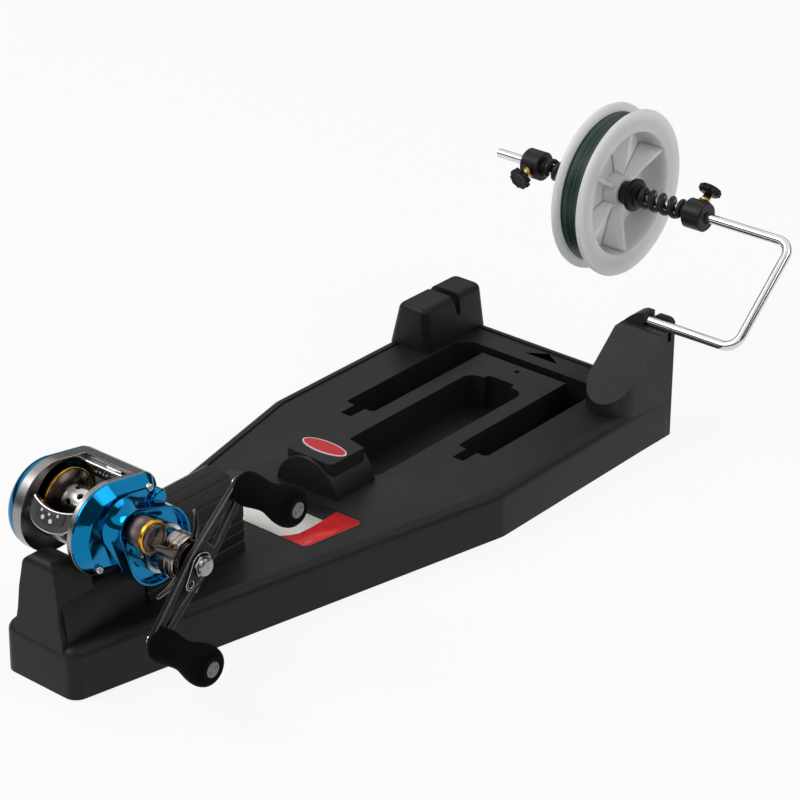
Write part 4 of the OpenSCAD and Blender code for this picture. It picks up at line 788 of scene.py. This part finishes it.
def make_gear_cover():
    """Faceted side plate, and the raised housing that the crank's parts stand in."""
    x0 = RIGHT_RING[1]
    steps = [(x0, 0.2, 1), (x0 + 1, 0.4, 1), (COVER_TOP - 0.4, 5.6, 8), (COVER_TOP, 6.3, 8)]
    plate = loft("gear_side_plate", [[(x, y, z) for y, z in flats(reel_belt(FRAME_CIRCLES, d), 48, facet)]
                                     for x, d, facet in steps], blue_anodised)
    carve(plate, [cutter(reel_belt(HOUSING_CIRCLES, 1), x0 - 1, COVER_TOP + 1, "X")])
    flare = [(x0 + 1, 4.5), (COVER_TOP, 4.5), (COVER_TOP + 1, 3), (COVER_TOP + 2.5, 1.6),
             (COVER_TOP + 4.5, 0.6), (HOUSING_TOP - 1.5, 0.1), (HOUSING_TOP, 0)]
    (y, z, r), large = HOUSING_CIRCLES
    walls = [[(x, *p) for p in reel_belt([(y, z, r + d), large])] for x, d in flare]
    housing = loft("gear_housing", walls, blue_anodised)
    carve(housing, [cutter(reel_belt(HOUSING_CIRCLES, 1.5), 26, HOUSING_TOP + 1, "X")])
    worm_at = (REEL[0] + 23.38, REEL[1] + 4.76)
    bump = cylinder("worm_bump", x0 + 1, 24.6, 5.6, worm_at, blue_anodised)
    boss = cylinder("spool_boss", 25, 40, 6.4, REEL, blue_anodised)
    return [soften(plate, 0.3, 2, 11), soften(housing, 0.6, 4), soften(bump, 1.6, 5), soften(boss, 0.5)]


def make_screws():
    """Pan heads with a cross slot."""
    made = []
    profile = [(17, 0), (17, 2.1), (22.4, 2.1), (23, 1.7), (23.2, 0)]
    for name, dy, dz in (("upper_plate_screw", 19, 12.5), ("lower_plate_screw", -18, -18.5)):
        y, z = REEL[0] + dy, REEL[1] + dz
        head = turned(name, profile, (y, z), bright_steel, 48)
        made.append(carve(head, [cutter(belt(rounded_box(y - a, y + a, z - b, z + b, 0.2)), 22.7, 24, "X")
                                 for a, b in ((1.3, 0.28), (0.28, 1.3))]))
    return made


def make_line_spool():
    """Drilled arbor between two dished flanges with gold rims."""
    x0, x1 = -19.4, 11.6
    arbor = tube("spool_arbor", x0 + 5, x1 - 5, 7.6, 9.5, REEL, spool_alloy)
    holes = []
    for row, first in ((-9.5, 0), (-3.9, 30), (1.7, 0)):
        turns = [radians(60 * k + first) for k in range(6)]
        holes += radial_holes(row, REEL, turns, 1.9, 0, 14)
    carve(arbor, holes)
    pieces = [soften(arbor, 0.25)]
    dish = [(2, 2.1), (2, 12), (0.4, 15.4), (0.4, 16.2), (1.4, 16.2), (2.6, 15.4), (5.4, 9.6), (5.4, 2.1)]
    edge = [(0, 15.2), (0, 16.7), (0.3, 17), (1.7, 17), (2, 16.7), (2, 16), (0.8, 15.2)]
    for name, x, way in (("left", x0, 1), ("right", x1, -1)):
        flange = turned(f"{name}_spool_flange", dish, REEL, gunmetal, at=x, way=way)
        rim = turned(f"{name}_spool_rim", edge, REEL, gold, at=x, way=way)
        pieces += [soften(flange, 0.25), soften(rim, 0.25)]
    return pieces


def make_line_guide():
    """Carrier on the worm and its rod, and the low arm that holds the eye."""
    x, y, z = -3.5, REEL[0] + 23.4, REEL[1] + 4.8
    rod = (REEL[0] + 24, 70)
    outline = belt([(*rod, 3.4), (y, z, 4.2)], 16)
    carrier = prism("guide_carrier", outline, x - 5.2, x + 5.2, "X", gunmetal)
    carve(carrier, [cylinder("cut", x - 9, x + 9, 1.7, rod), cylinder("cut", x - 9, x + 9, 2.75, (y, z))])
    low, high, eye_z = REEL[0] + 27.2, REEL[0] + 31.4, REEL[1] + 5.5
    ring = prism("guide_ring", circle(x, eye_z, 4.3, 45), low, high, "Y", gunmetal)
    carve(ring, [cutter(circle(x, eye_z, 2.7, 30), low - 1, high + 1, "Y")])
    eye = prism("guide_eye_insert", circle(x, eye_z, 2.68, 30), high - 2, high + 0.2, "Y", gold)
    carve(eye, [cutter(circle(x, eye_z, 1.8), low, high + 1, "Y")])
    return [soften(carrier, 0.5), soften(ring, 0.5)], [soften(eye, 0.25)]


THUMB_AT = (REEL[0] - 25.5, REEL[1] + 5.5)
THUMB_LEAN = radians(29)


def thumb_place(x, out, up):
    """A point of the thumb bar, out from its middle plane and up along it."""
    c, s = cos(THUMB_LEAN), sin(THUMB_LEAN)
    return x, THUMB_AT[0] - out * c + up * s, THUMB_AT[1] + out * s + up * c


def shield(half, top, dip, low, n=14):
    """Outline of the thumb bar: horns at the top corners, a dip between them and a full lower edge."""
    turns = [pi * k / n for k in range(n + 1)]
    top_edge = [(mix(half, -half, k / n), top - dip * sin(a) ** 0.8) for k, a in enumerate(turns)]
    low_edge = [(-half * cos(a) if k != n // 2 else 0, top - 3 - (top - 3 - low) * sin(a) ** 0.55)
                for k, a in enumerate(turns)]
    return top_edge + low_edge[1:-1]


def make_thumb_bar():
    """Bright shield between the frame's rings, with a dark inset that carries five dots."""
    mid, crown = -2.7, 1.5

    def slab(name, outline, out0, out1, finish_of):
        return loft(name, [[thumb_place(mid + x, out - crown * (x / 16) ** 2, up) for x, up in outline]
                           for out in (out0, out1)], finish_of)

    bar = slab("thumb_bar_plate", shield(15.4, 8, 3.8, -7.6), -1.6, 2.2, silver_bright)
    pad = slab("thumb_bar_pad", shield(10, 5.2, 2.6, -4), 1.0, 2.6, pad_grey)
    pieces = [soften(bar, 0.8, 4, 50), soften(pad, 0.3, 3, 50)]
    dots = [(-5.6, 2.3, 0.8), (0, 1.6, 0.8), (5.6, 2.3, 0.8), (-3.6, -0.9, 1.2), (2, -1.5, 1.2)]
    for k, (x, up, r) in enumerate(dots):
        drop = crown * (x / 16) ** 2
        rings = [[thumb_place(mid + dx, out - drop, dz) for dx, dz in oval(x, up, r, r, 24)]
                 for out in (2.2, 2.68)]
        pieces.append(loft(f"thumb_dot_{k + 1}", rings, white_dot))
    return pieces


def pull_in(made, centre, depth):
    """Moves vertices towards the axis, by what depth gives for their x, radius and angle."""
    for v in made.data.vertices:
        y, z = v.co.y / MM - centre[0], v.co.z / MM - centre[1]
        r = hypot(y, z)
        deep = depth(v.co.x / MM, r, atan2(z, y))
        if deep:
            v.co.y, v.co.z = (centre[0] + y * (1 - deep / r)) * MM, (centre[1] + z * (1 - deep / r)) * MM
    return made


def knurled(name, profile, centre, finish_of, count, deep, span):
    """A turned piece with rounded flutes where span says: from x, to x and beyond which radius."""
    def flute(x, r, a):
        fluted = span[0] <= x <= span[1] and r > span[2]
        return deep * (0.5 - 0.5 * cos(count * a)) if fluted else 0

    return pull_in(turned(name, profile, centre, finish_of, count * 8), centre, flute)


def make_tension_cap():
    r = 8.25
    profile = [(30.6, 6.6), (30.6, 7.7), (31.1, r), (40.2, r), (40.6, 7.4), (43, 7.4), (43, 7.9),
               (43.6, 7.6), (44, 6.9), (44, 4.6), (43.7, 4.2), (43.7, 0.9), (43.2, 0), (41.6, 0),
               (41.6, 6.6)]
    cap = knurled("tension_cup", profile, REEL, gunmetal, 60, 0.22, (31, 40.3, 8))
    return [cap], [soften(tube("tension_band", 40.7, 42.9, 7.5, 9.05, REEL, gold), 0.5)]


def make_collar_ring():
    ring = tube("drilled_ring", 26.1, 33, 11.3, 13.3, DRIVE, spool_alloy)
    carve(ring, radial_holes(29.8, DRIVE, [radians(36 * (k + 0.5)) for k in range(10)], 1.3, 9, 16))
    return [soften(ring, 0.35)]


def make_star():
    """Grooved sleeve, thin disc and five spokes that thin and narrow outwards."""
    hub_line = [(38.5, 3.1), (38.5, 10.6), (39.2, 12), (39.8, 12.4), (44.3, 12.6), (44.5, 12.1),
                (44.8, 12.1), (45, 12.6), (47.7, 12.6), (47.9, 12), (48.3, 12), (48.5, 12.5), (49.6, 12.5),
                (50, 12.1), (50, 3.1)]
    hub = soften(turned("star_sleeve", hub_line, DRIVE, pewter), 0.12, 2, 25)
    disc = soften(tube("star_disc", 50.05, 51.3, 3.1, 9.6, DRIVE, gunmetal), 0.35)
    spokes = []
    stations = 14
    for k in range(5):
        rings = []
        for j in range(stations + 1):
            t = j / stations
            r, thick = mix(10.6, 25.4, t), mix(1.2, 0.9, t)
            half = mix(3.2, 1.3, t ** 0.7) * (1 if j < stations else 0.7)
            section = [(0, 0.82), (-0.25, 1), (-thick + 0.2, 1), (-thick, 0.85), (-thick, -0.85),
                       (-thick + 0.2, -1), (-0.25, -1), (0, -0.82)]
            x, a = 51.25 - 4.2 * t ** 2, radians(71 + 72 * k)
            rings.append([(x + dx, *around(DRIVE, r, a, half * w)) for dx, w in section])
        spokes.append(loft(f"star_spoke_{k + 1}", rings, gunmetal))
    return [hub], [disc] + spokes


CRANK_TURN = radians(44.3)
KNOB_REACH = 44.3
ARM_X = (54, 57.6)


def crank(u, v=0.0):
    """A place on the crank, u along it from the drive axis and v across it, as (y, z)."""
    return around(DRIVE, u, CRANK_TURN, v)


def flat_link(name, circles, n, span, cuts, rounding, edge_finish):
    """Black plate along the crank, with openings, whose rounded edges show another finish."""
    made = prism(name, [crank(u, v) for u, v in belt(circles, n)], *span, "X", handle_black)
    made.data.materials.append(edge_finish)
    soften(carve(made, cuts), *rounding)
    made.modifiers["rounding"].material = 1
    return [made]


def make_crank_arm():
    windows = []
    for s in (-1, 1):
        slot = [crank(s * u, s * v) for u, v in belt([(12.4, -2.7, 1), (35.5, 0, 1), (12.4, 2.7, 1)], 6)]
        windows.append(cutter(slot, ARM_X[0] - 1, ARM_X[1] + 1, "X"))
    circles = [(-KNOB_REACH, 0, 5), (0, 0, 8.8), (KNOB_REACH, 0, 5), (0, 0, 8.8)]
    # The arm's rounded edges take the lighter grey: painted edge highlight.
    return flat_link("crank_arm", circles, 14, ARM_X, windows, (0.7, 2), painted_edge_highlight)


def make_retainer():
    u = -11.2
    holes = [cylinder("cut", 56, 60, 1.7, crank(u)), cylinder("cut", 56, 60, 3.1, DRIVE)]
    span = (ARM_X[1] + 0.1, ARM_X[1] + 0.95)
    return flat_link("nut_keeper", [(u, 0, 3.4), (0, 0, 6.9)], 16, span, holes, (0.3, 3), spool_alloy)


def make_nut():
    hexagon = [crank(u, v) for u, v in oval(0, 0, 6.1, 6.1, 6)]
    flange = prism("nut_hexagon", hexagon, 58.5, 60.2, "X", nut_steel)
    dome_line = [(58.6, 3.1), (58.6, 5), (61.7, 5), (62.4, 4.5), (62.9, 3.6), (62.9, 0.5), (62.4, 0),
                 (60, 0), (60, 3.1)]
    cap = turned("nut_cap", dome_line, DRIVE, nut_steel)
    return [soften(flange, 0.4), soften(cap, 0.2, 2, 25)]


KNOB_X = (57.9, 95.3)
KNOB_R = 10.75


def make_knob(name, centre):
    """Waisted foam grip with a seam round its middle."""
    shares = [(0, 0.66), (0.015, 0.76), (0.06, 0.83), (0.14, 0.84), (0.28, 0.765), (0.4, 0.72), (0.5, 0.74),
              (0.61, 0.85), (0.71, 0.955), (0.8, 1), (0.88, 0.985), (0.95, 0.89), (0.99, 0.72), (1, 0.62)]
    start, end = KNOB_X
    outside = spline([(start + (end - start) * t, KNOB_R * r) for t, r in shares], 6)
    seat = end - 1.5
    profile = [(start, 2.3), *outside, (end, 4.5), (seat, 4.4), (seat, 2.3)]
    seam_x, seam_half, seam_deep = start + (end - start) * 0.52, 0.6, 0.5

    def seam(x, r, _):
        off = abs(x - seam_x)
        return seam_deep * (1 - off / seam_half) if off < seam_half and r > 6 else 0

    return pull_in(turned(name, profile, centre, knob_foam), centre, seam)


def make_knob_cap(name, centre):
    x = KNOB_X[1]
    profile = [(-1.2, 0), (-1.2, 4.35), (-0.3, 4.35), (-0.05, 4.2), (0, 3.9), (0, 0)]
    cap = turned(name, profile, centre, cap_grey, 64, at=x)
    places = [(centre[0] + s * 2.07, centre[1] + s * 0.75) for s in (-1, 1)]
    return carve(cap, [cylinder("cut", x - 0.8, x + 1, 0.65, place_at, n=24) for place_at in places])


def make_reel():
    for pieces, nodes_for, body, finish_slot in (
            (make_reel_frame(), ["reel_frame"], "base", "frame_silver"),
            (make_palm_cover(), ["palm_cover"], "base", "blue_anodised"),
            (make_gear_cover(), ["gear_cover"], "base", "blue_anodised"),
            (make_screws(), ["plate_screws"], "base", "bright_steel"),
            (make_line_spool(), ["reel_spool"], "line_spool", "spool_alloy"),
            (make_collar_ring(), ["collar_ring"], "base", "spool_alloy"),
            (make_crank_arm(), ["handle_arm"], "handle", "handle_black"),
            (make_retainer(), ["nut_retainer"], "handle", "handle_black"),
            (make_nut(), ["handle_nut"], "handle", "bright_steel"),
            (make_thumb_bar(), ["thumb_bar", "thumb_pad"], "thumb", "frame_silver")):
        hand_over(pieces, nodes_for, body, finish_slot)
    for (first, second), nodes_for, body, slots in (
            (make_tension_cap(), ("tension_cap", "tension_ring"), "tension", ("gunmetal", "gold")),
            (make_line_guide(), ("line_guide", "guide_eye"), "guide", ("gunmetal", "gold")),
            (make_star(), ("star_hub", "star_drag"), "star", ("frame_silver", "gunmetal"))):
        hand_over(first, nodes_for[:1], body, slots[0])
        hand_over(second, nodes_for[1:], body, slots[1])
    for side, u in (("upper", KNOB_REACH), ("lower", -KNOB_REACH)):
        body = f"{side}_grip"
        hand_over([make_knob(f"{side}_grip_foam", crank(u))], [f"{side}_knob"], body, "knob_foam")
        hand_over([make_knob_cap(f"{side}_grip_cap", crank(u))], [f"{side}_knob_cap"], body, "cap_grey")


def hand_over(pieces, nodes_for, body, finish_slot):
    """The pieces ride on the body and stand for the CAD nodes."""
    for piece in pieces:
        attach(piece, body)
    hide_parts(*nodes_for)


# Wire arm and spindle. The spindle's axis runs along X through SPINDLE.
WIRE_R = 2.9
LEAN_DEGREES = 49.2
LEAN = radians(LEAN_DEGREES)
RISER = 72
RISER_X = SIDE + 44.2
SPINDLE = (LEG[0] + RISER * sin(LEAN), LEG[1] + RISER * cos(LEAN))
SPOOL_X = 5
RIGHT_COLLAR_X = SPOOL_X + 52.8
LEFT_COLLAR_X = SPOOL_X - 54
CONE_FACE = 12.05
CONE_TAIL = 6.3
COLLAR_NECK = 2.9
SCREW_INSET = 6.6


def on_arm(x, up):
    """A point of the arm's plane, up the riser from the lower leg."""
    return Vector((x, LEG[0] + up * sin(LEAN), LEG[1] + up * cos(LEAN)))


def sweep(name, path, r, finish_of, sides):
    """Round tube along a path whose frames turn as little as they can."""
    points = [Vector(p) for p in path]
    ways = [(b - a).normalized() for a, b in zip(points[:1] + points, points[1:] + points[-1:])]
    turns = [tau * k / sides for k in range(sides)]
    up = ways[0].orthogonal().normalized()
    rings = []
    for p, way in zip(points, ways):
        up = (up - way * up.dot(way)).normalized()
        side = way.cross(up)
        rings.append([tuple(p + r * (cos(a) * up + sin(a) * side)) for a in turns])
    return loft(name, rings, finish_of)


def make_wire():
    """Lower leg, riser and upper leg, with round bends and a chamfered free end."""
    bend = 9
    x = RISER_X - bend
    path = [on_arm(SIDE - 22, 0), on_arm(x - 1, 0)]
    path += [on_arm(x + bend * sin(a), bend - bend * cos(a)) for a in QUARTER]
    path += [on_arm(x + bend * cos(a), RISER - bend + bend * sin(a)) for a in QUARTER]
    path += [on_arm(x - 1, RISER), on_arm(-84.6, RISER)]
    return soften(sweep("bent_wire", path, WIRE_R, chrome, 56), 0.5, 3, 60)


def make_collar(name, x, way, angle):
    """Stop collar with its neck towards the spool, a flat for the screw and the screw's hole."""
    profile = [(-2.6, BORE_R), (-2.6, 5.1), (-2.2, 5.5), (0, 5.5), (0, 8.2), (0.8, 9), (12.4, 9),
               (13.2, 8.2), (13.2, 4.2), (12.4, BORE_R)]
    collar = turned(name, profile, SPINDLE, black_plastic, at=x, way=way)
    up = Vector((0, -sin(angle), cos(angle)))
    place_at = Matrix.Translation(Vector((x + way * SCREW_INSET, *SPINDLE)) * MM) @ up.to_track_quat(
        "Z", "X").to_matrix().to_4x4()
    tools = [cutter(rectangle(-14, 14, -10, 10), 8.2, 14, "Z"), cutter(circle(0, 0, 2.1), 2, 14, "Z")]
    for tool in tools:
        tool.matrix_world = place_at
    bpy.context.view_layer.update()
    return soften(carve(collar, tools), 0.35), place_at


def make_thumb_screw(name, place_at):
    """Brass stud and a lobed head with a domed top."""
    stud_line = [(3.3, 0), (3.3, 1.6), (3.7, 1.95), (15.5, 1.95), (15.5, 0)]
    stud = turned(f"{name}_brass_stud", stud_line, (0, 0), brass, 32)
    head_line = [(14, 0), (14, 4.6), (14.5, 6.1), (15.1, 7.1), (17.4, 7.2), (18.2, 6.9), (18.6, 6),
                 (18.6, 4.5), (18.3, 3.8), (18.4, 1.8), (18.5, 0)]
    head = knurled(f"{name}_lobed_head", head_line, (0, 0), black_plastic, 10, 1.2, (14.4, 18.3, 5.6))
    seat_line = [(9.2, 2.1), (9.2, 3.9), (10.8, 2.6), (14, 2.3), (14, 2.1)]
    seat = turned(f"{name}_seat", seat_line, (0, 0), brass, 32)
    for piece in (stud, head, seat):
        piece.data.transform(place_at @ Matrix.Rotation(radians(-90), 4, "Y"))
        piece.data.update()
    return stud, soften(head, 0.3), seat


def make_spring(name, start, run):
    """Closed-ended compression spring on the spindle."""
    curls, steps, r, tube = 4.6, 32, 4.9, 1.7
    flat_end = 0.07
    total = int(curls * steps)
    wire = copysign(tube, run)
    path = []
    for k in range(total + 1):
        t = k / total
        ease = min(1, max(0, (t - flat_end) / (1 - 2 * flat_end)))
        path.append((start + wire + (run - 2 * wire) * ease, *around(SPINDLE, r, tau * curls * t)))
    return sweep(name, path, tube, black_steel, 14)


def make_cone(name, face_x, way):
    """Centring cone: its nose sits in the spool's hub, its flange and tail carry the spring."""
    profile = [(-11.7, BORE_R), (-11.7, 4.2), (-11.3, 4.6), (-10.55, 5), (-0.3, 8.5), (0, 8.6), (0, 9.4),
               (0.6, 10.1), (3, 10.1), (3.6, 9.5), (4, 7.4), (4.4, 7), (5.6, 7), (6, 6.6), (6, BORE_R)]
    return soften(turned(name, profile, SPINDLE, black_plastic, at=face_x, way=way), 0.25, 2, 25)


def make_supply_spool():
    """Two rimmed flanges on a barrel, and a dish with six tapering webs that carries the hub."""
    half, edge, barrel, out = 7.25, 10.85, 38, 51.5
    first_web = 17.2 - LEAN_DEGREES
    left = [(-edge, out - 1.4), (-edge + 0.5, out - 0.4), (-edge + 1.5, out), (-half - 0.9, out - 0.1),
            (-half - 0.1, out - 1), (-half + 0.1, barrel + 9), (-half, barrel + 4)]
    right = [(-x, r) for x, r in reversed(left)]
    body = [(-edge, barrel)] + left + right + [(edge, barrel + 0.6), (edge - 0.6, barrel)]
    hub_line = [(-6.5, 7.1), (-6.5, 9.6), (-1.5, 11), (1.5, 11), (6.5, 9.6), (6.5, 7.1), (1.5, 5.2),
                (-1.5, 5.2)]
    dish_line = [(-3.4, 9.5), (-1.9, 9.5), (-7.9, barrel + 0.8), (-9.4, barrel + 0.8)]
    rim = turned("spool_barrel", body, SPINDLE, spool_plastic, 160, at=SPOOL_X)
    hub = turned("spool_hub", hub_line, SPINDLE, spool_plastic, at=SPOOL_X)
    dish = turned("spool_dish", dish_line, SPINDLE, spool_plastic, 120, at=SPOOL_X)
    pieces = [soften(rim, 0.35, 3, 40), soften(hub, 0.3), dish]
    corners = [(-4.5, 9.2, 0.5), (4.5, 9.2, 0.5), (edge - 1.3, barrel + 0.8, 1.3),
               (1.3 - edge, barrel + 0.8, 1.3)]
    for k in range(6):
        a = radians(first_web + 60 * k)
        rings = [[(SPOOL_X + x, *around(SPINDLE, r, a, side * w)) for x, r, w in corners]
                 for side in (-1, 1)]
        pieces.append(soften(loft(f"spool_web_{k + 1}", rings, spool_plastic), 0.4))
    return pieces


def make_line():
    """Dark core under one unbroken helix of line, laid turn beside turn, with a slightly uneven lay."""
    core = tube("line_bed", SPOOL_X - 7.1, SPOOL_X + 7.1, 42.3, 46.1, SPINDLE, line_green, 120)
    loops, steps, strand, middle, width = 25, 72, 0.28, 46.22, 14.1
    run = width - 2 * strand
    path = []
    for k in range(loops * steps + 1):
        t = k / (loops * steps)
        a = tau * loops * t
        stray = 0.05 * sin(7.3 * a / loops + 2.1 * sin(a)) + 0.04 * sin(3 * a + 5 * t)
        r = middle + 0.05 * sin(5 * a / 3)
        path.append((SPOOL_X - run / 2 + run * t + stray, *around(SPINDLE, r, a)))
    return core, sweep("line_lay", path, strand, line_green, 8)


def make_spindle():
    hand_over([make_wire()], ["wire_arm"], "arm", "wire_chrome")
    for side, x, way, turn in (("right", RIGHT_COLLAR_X, 1, 4), ("left", LEFT_COLLAR_X, -1, 154)):
        stop, screw = f"{side}_stop", f"{side}_screw"
        collar, place_at = make_collar(stop, x, way, radians(turn - LEAN_DEGREES))
        hand_over([collar], [f"{side}_collar"], stop, "black_plastic")
        stud, head, seat = make_thumb_screw(side, place_at)
        hand_over([stud, seat], [f"{side}_stud"], screw, "brass")
        hand_over([head], [f"{side}_thumb"], screw, "black_plastic")
        face = SPOOL_X + way * CONE_FACE
        cone = make_cone(f"{side}_centring_cone", face, way)
        hand_over([cone], [f"{side}_cone"], "supply", "black_plastic")
        start = face + way * CONE_TAIL
        spring = make_spring(f"{side}_coil", start, x - way * COLLAR_NECK - start)
        hand_over([spring], [f"{side}_spring"], stop, "black_steel")
    hand_over(make_supply_spool(), ["supply_spool"], "supply", "spool_plastic")
    core, lay = make_line()
    hand_over([core], ["line_core"], "supply", "line_green")
    hand_over([lay], ["line_winding"], "supply", "line_green")


# Label and badge. Their prints are thin layers of plain colour, with no words.
def decal(name, outline, keep, thick, finish_of):
    """The part of an outline that lies in keep, as a print on the label's plate."""
    z = DECK_H - 0.01
    made = prism(name, outline, z, z + thick, "Z", finish_of)
    return carve(made, [cutter(keep, DECK_H - 1, DECK_H + 1, "Z")], "INTERSECT")


def make_label():
    """Black plate let into the deck, with a cream field in front and a red band at the right."""
    y = LABEL_BACK
    plate = prism("label_plate", label_outline(), DECK_H - LABEL_SINK, DECK_H, "Z", label_black)
    front = [(-60, y - 12.8), (-60, y - 60), (60, y - 60), (60, y - 12.8)]
    band = [(60, y + 3), (29.3, y + 3), (30.2, y - 13), (30.4, y - 22), (29.7, y - 31.5), (27, y - 36.5),
            (21.8, y - 42), (60, y - 44)]
    line = label_outline(-0.9)
    return [soften(plate, 0.12), decal("label_pale_field", line, front, 0.04, label_print),
            decal("label_red_band", line, band, 0.06, label_red)]


def make_badge():
    plate = prism("badge_plate", oval(0, PAD_MID, 15.5, 6, 64), BADGE_FLOOR, 48.45, "Z", badge_white)
    field = prism("badge_field", oval(0, PAD_MID, 14.6, 5.2, 64), 48.4, 48.52, "Z", badge_red)
    return [soften(plate, 0.15), soften(field, 0.03)]


def make_prints():
    hand_over(make_label(), ["deck_label"], "base", "label_print")
    hand_over(make_badge(), ["pad_badge"], "base", "badge_red")


def make_clamp():
    """Fluted arch that slides on the rail, with a low nose under the reel."""
    low = DECK_H + 0.5
    y0, y1 = -154, -82
    half, middle, flute_r = 18, 52.8, 1.6
    outline = [(-19, low), (19, low), (half, low + 5), *arc(0, middle, half, 0, 180, 40), (-half, low + 5)]
    clamp = prism("fluted_clamp", outline, y0, y1, "Y", base_plastic)
    cuts = [cutter(arch(14.4, low - 2, RAIL_TOP + FOOT_GAP, 8.4, 8), y0 - 1, y1 + 1, "Y"),
            cutter(rectangle(-8.9, 8.9, RAIL_TOP, FOOT_TOP + FOOT_GAP), y0 - 1, y1 + 1, "Y"),
            cutter(rectangle(-30, 30, 56.4, 80), y0 - 1, y0 + 18, "Y")]
    reach = half - 0.5 + flute_r
    flutes = [around((0, middle), reach, radians(a)) for a in range(12, 180, 24)]
    flutes += [(s * reach, DECK_H + z) for z in (6, 12, 18) for s in (-1, 1)]
    cuts += [cutter(circle(x, z, flute_r), y0 - 1, y1 + 1, "Y") for x, z in flutes]
    hand_over([soften(carve(clamp, cuts), 0.5)], ["reel_clamp"], "clamp", "base_plastic")


add_camera()
add_world()
add_lamp("key", **KEY_LAMP)
add_lamp("fill", **FILL_LAMP)
add_floor()
dress_nodes()
make_base()
make_reel()
make_spindle()
make_prints()
make_clamp()

scene = bpy.context.scene
scene.view_settings.view_transform = "Standard"
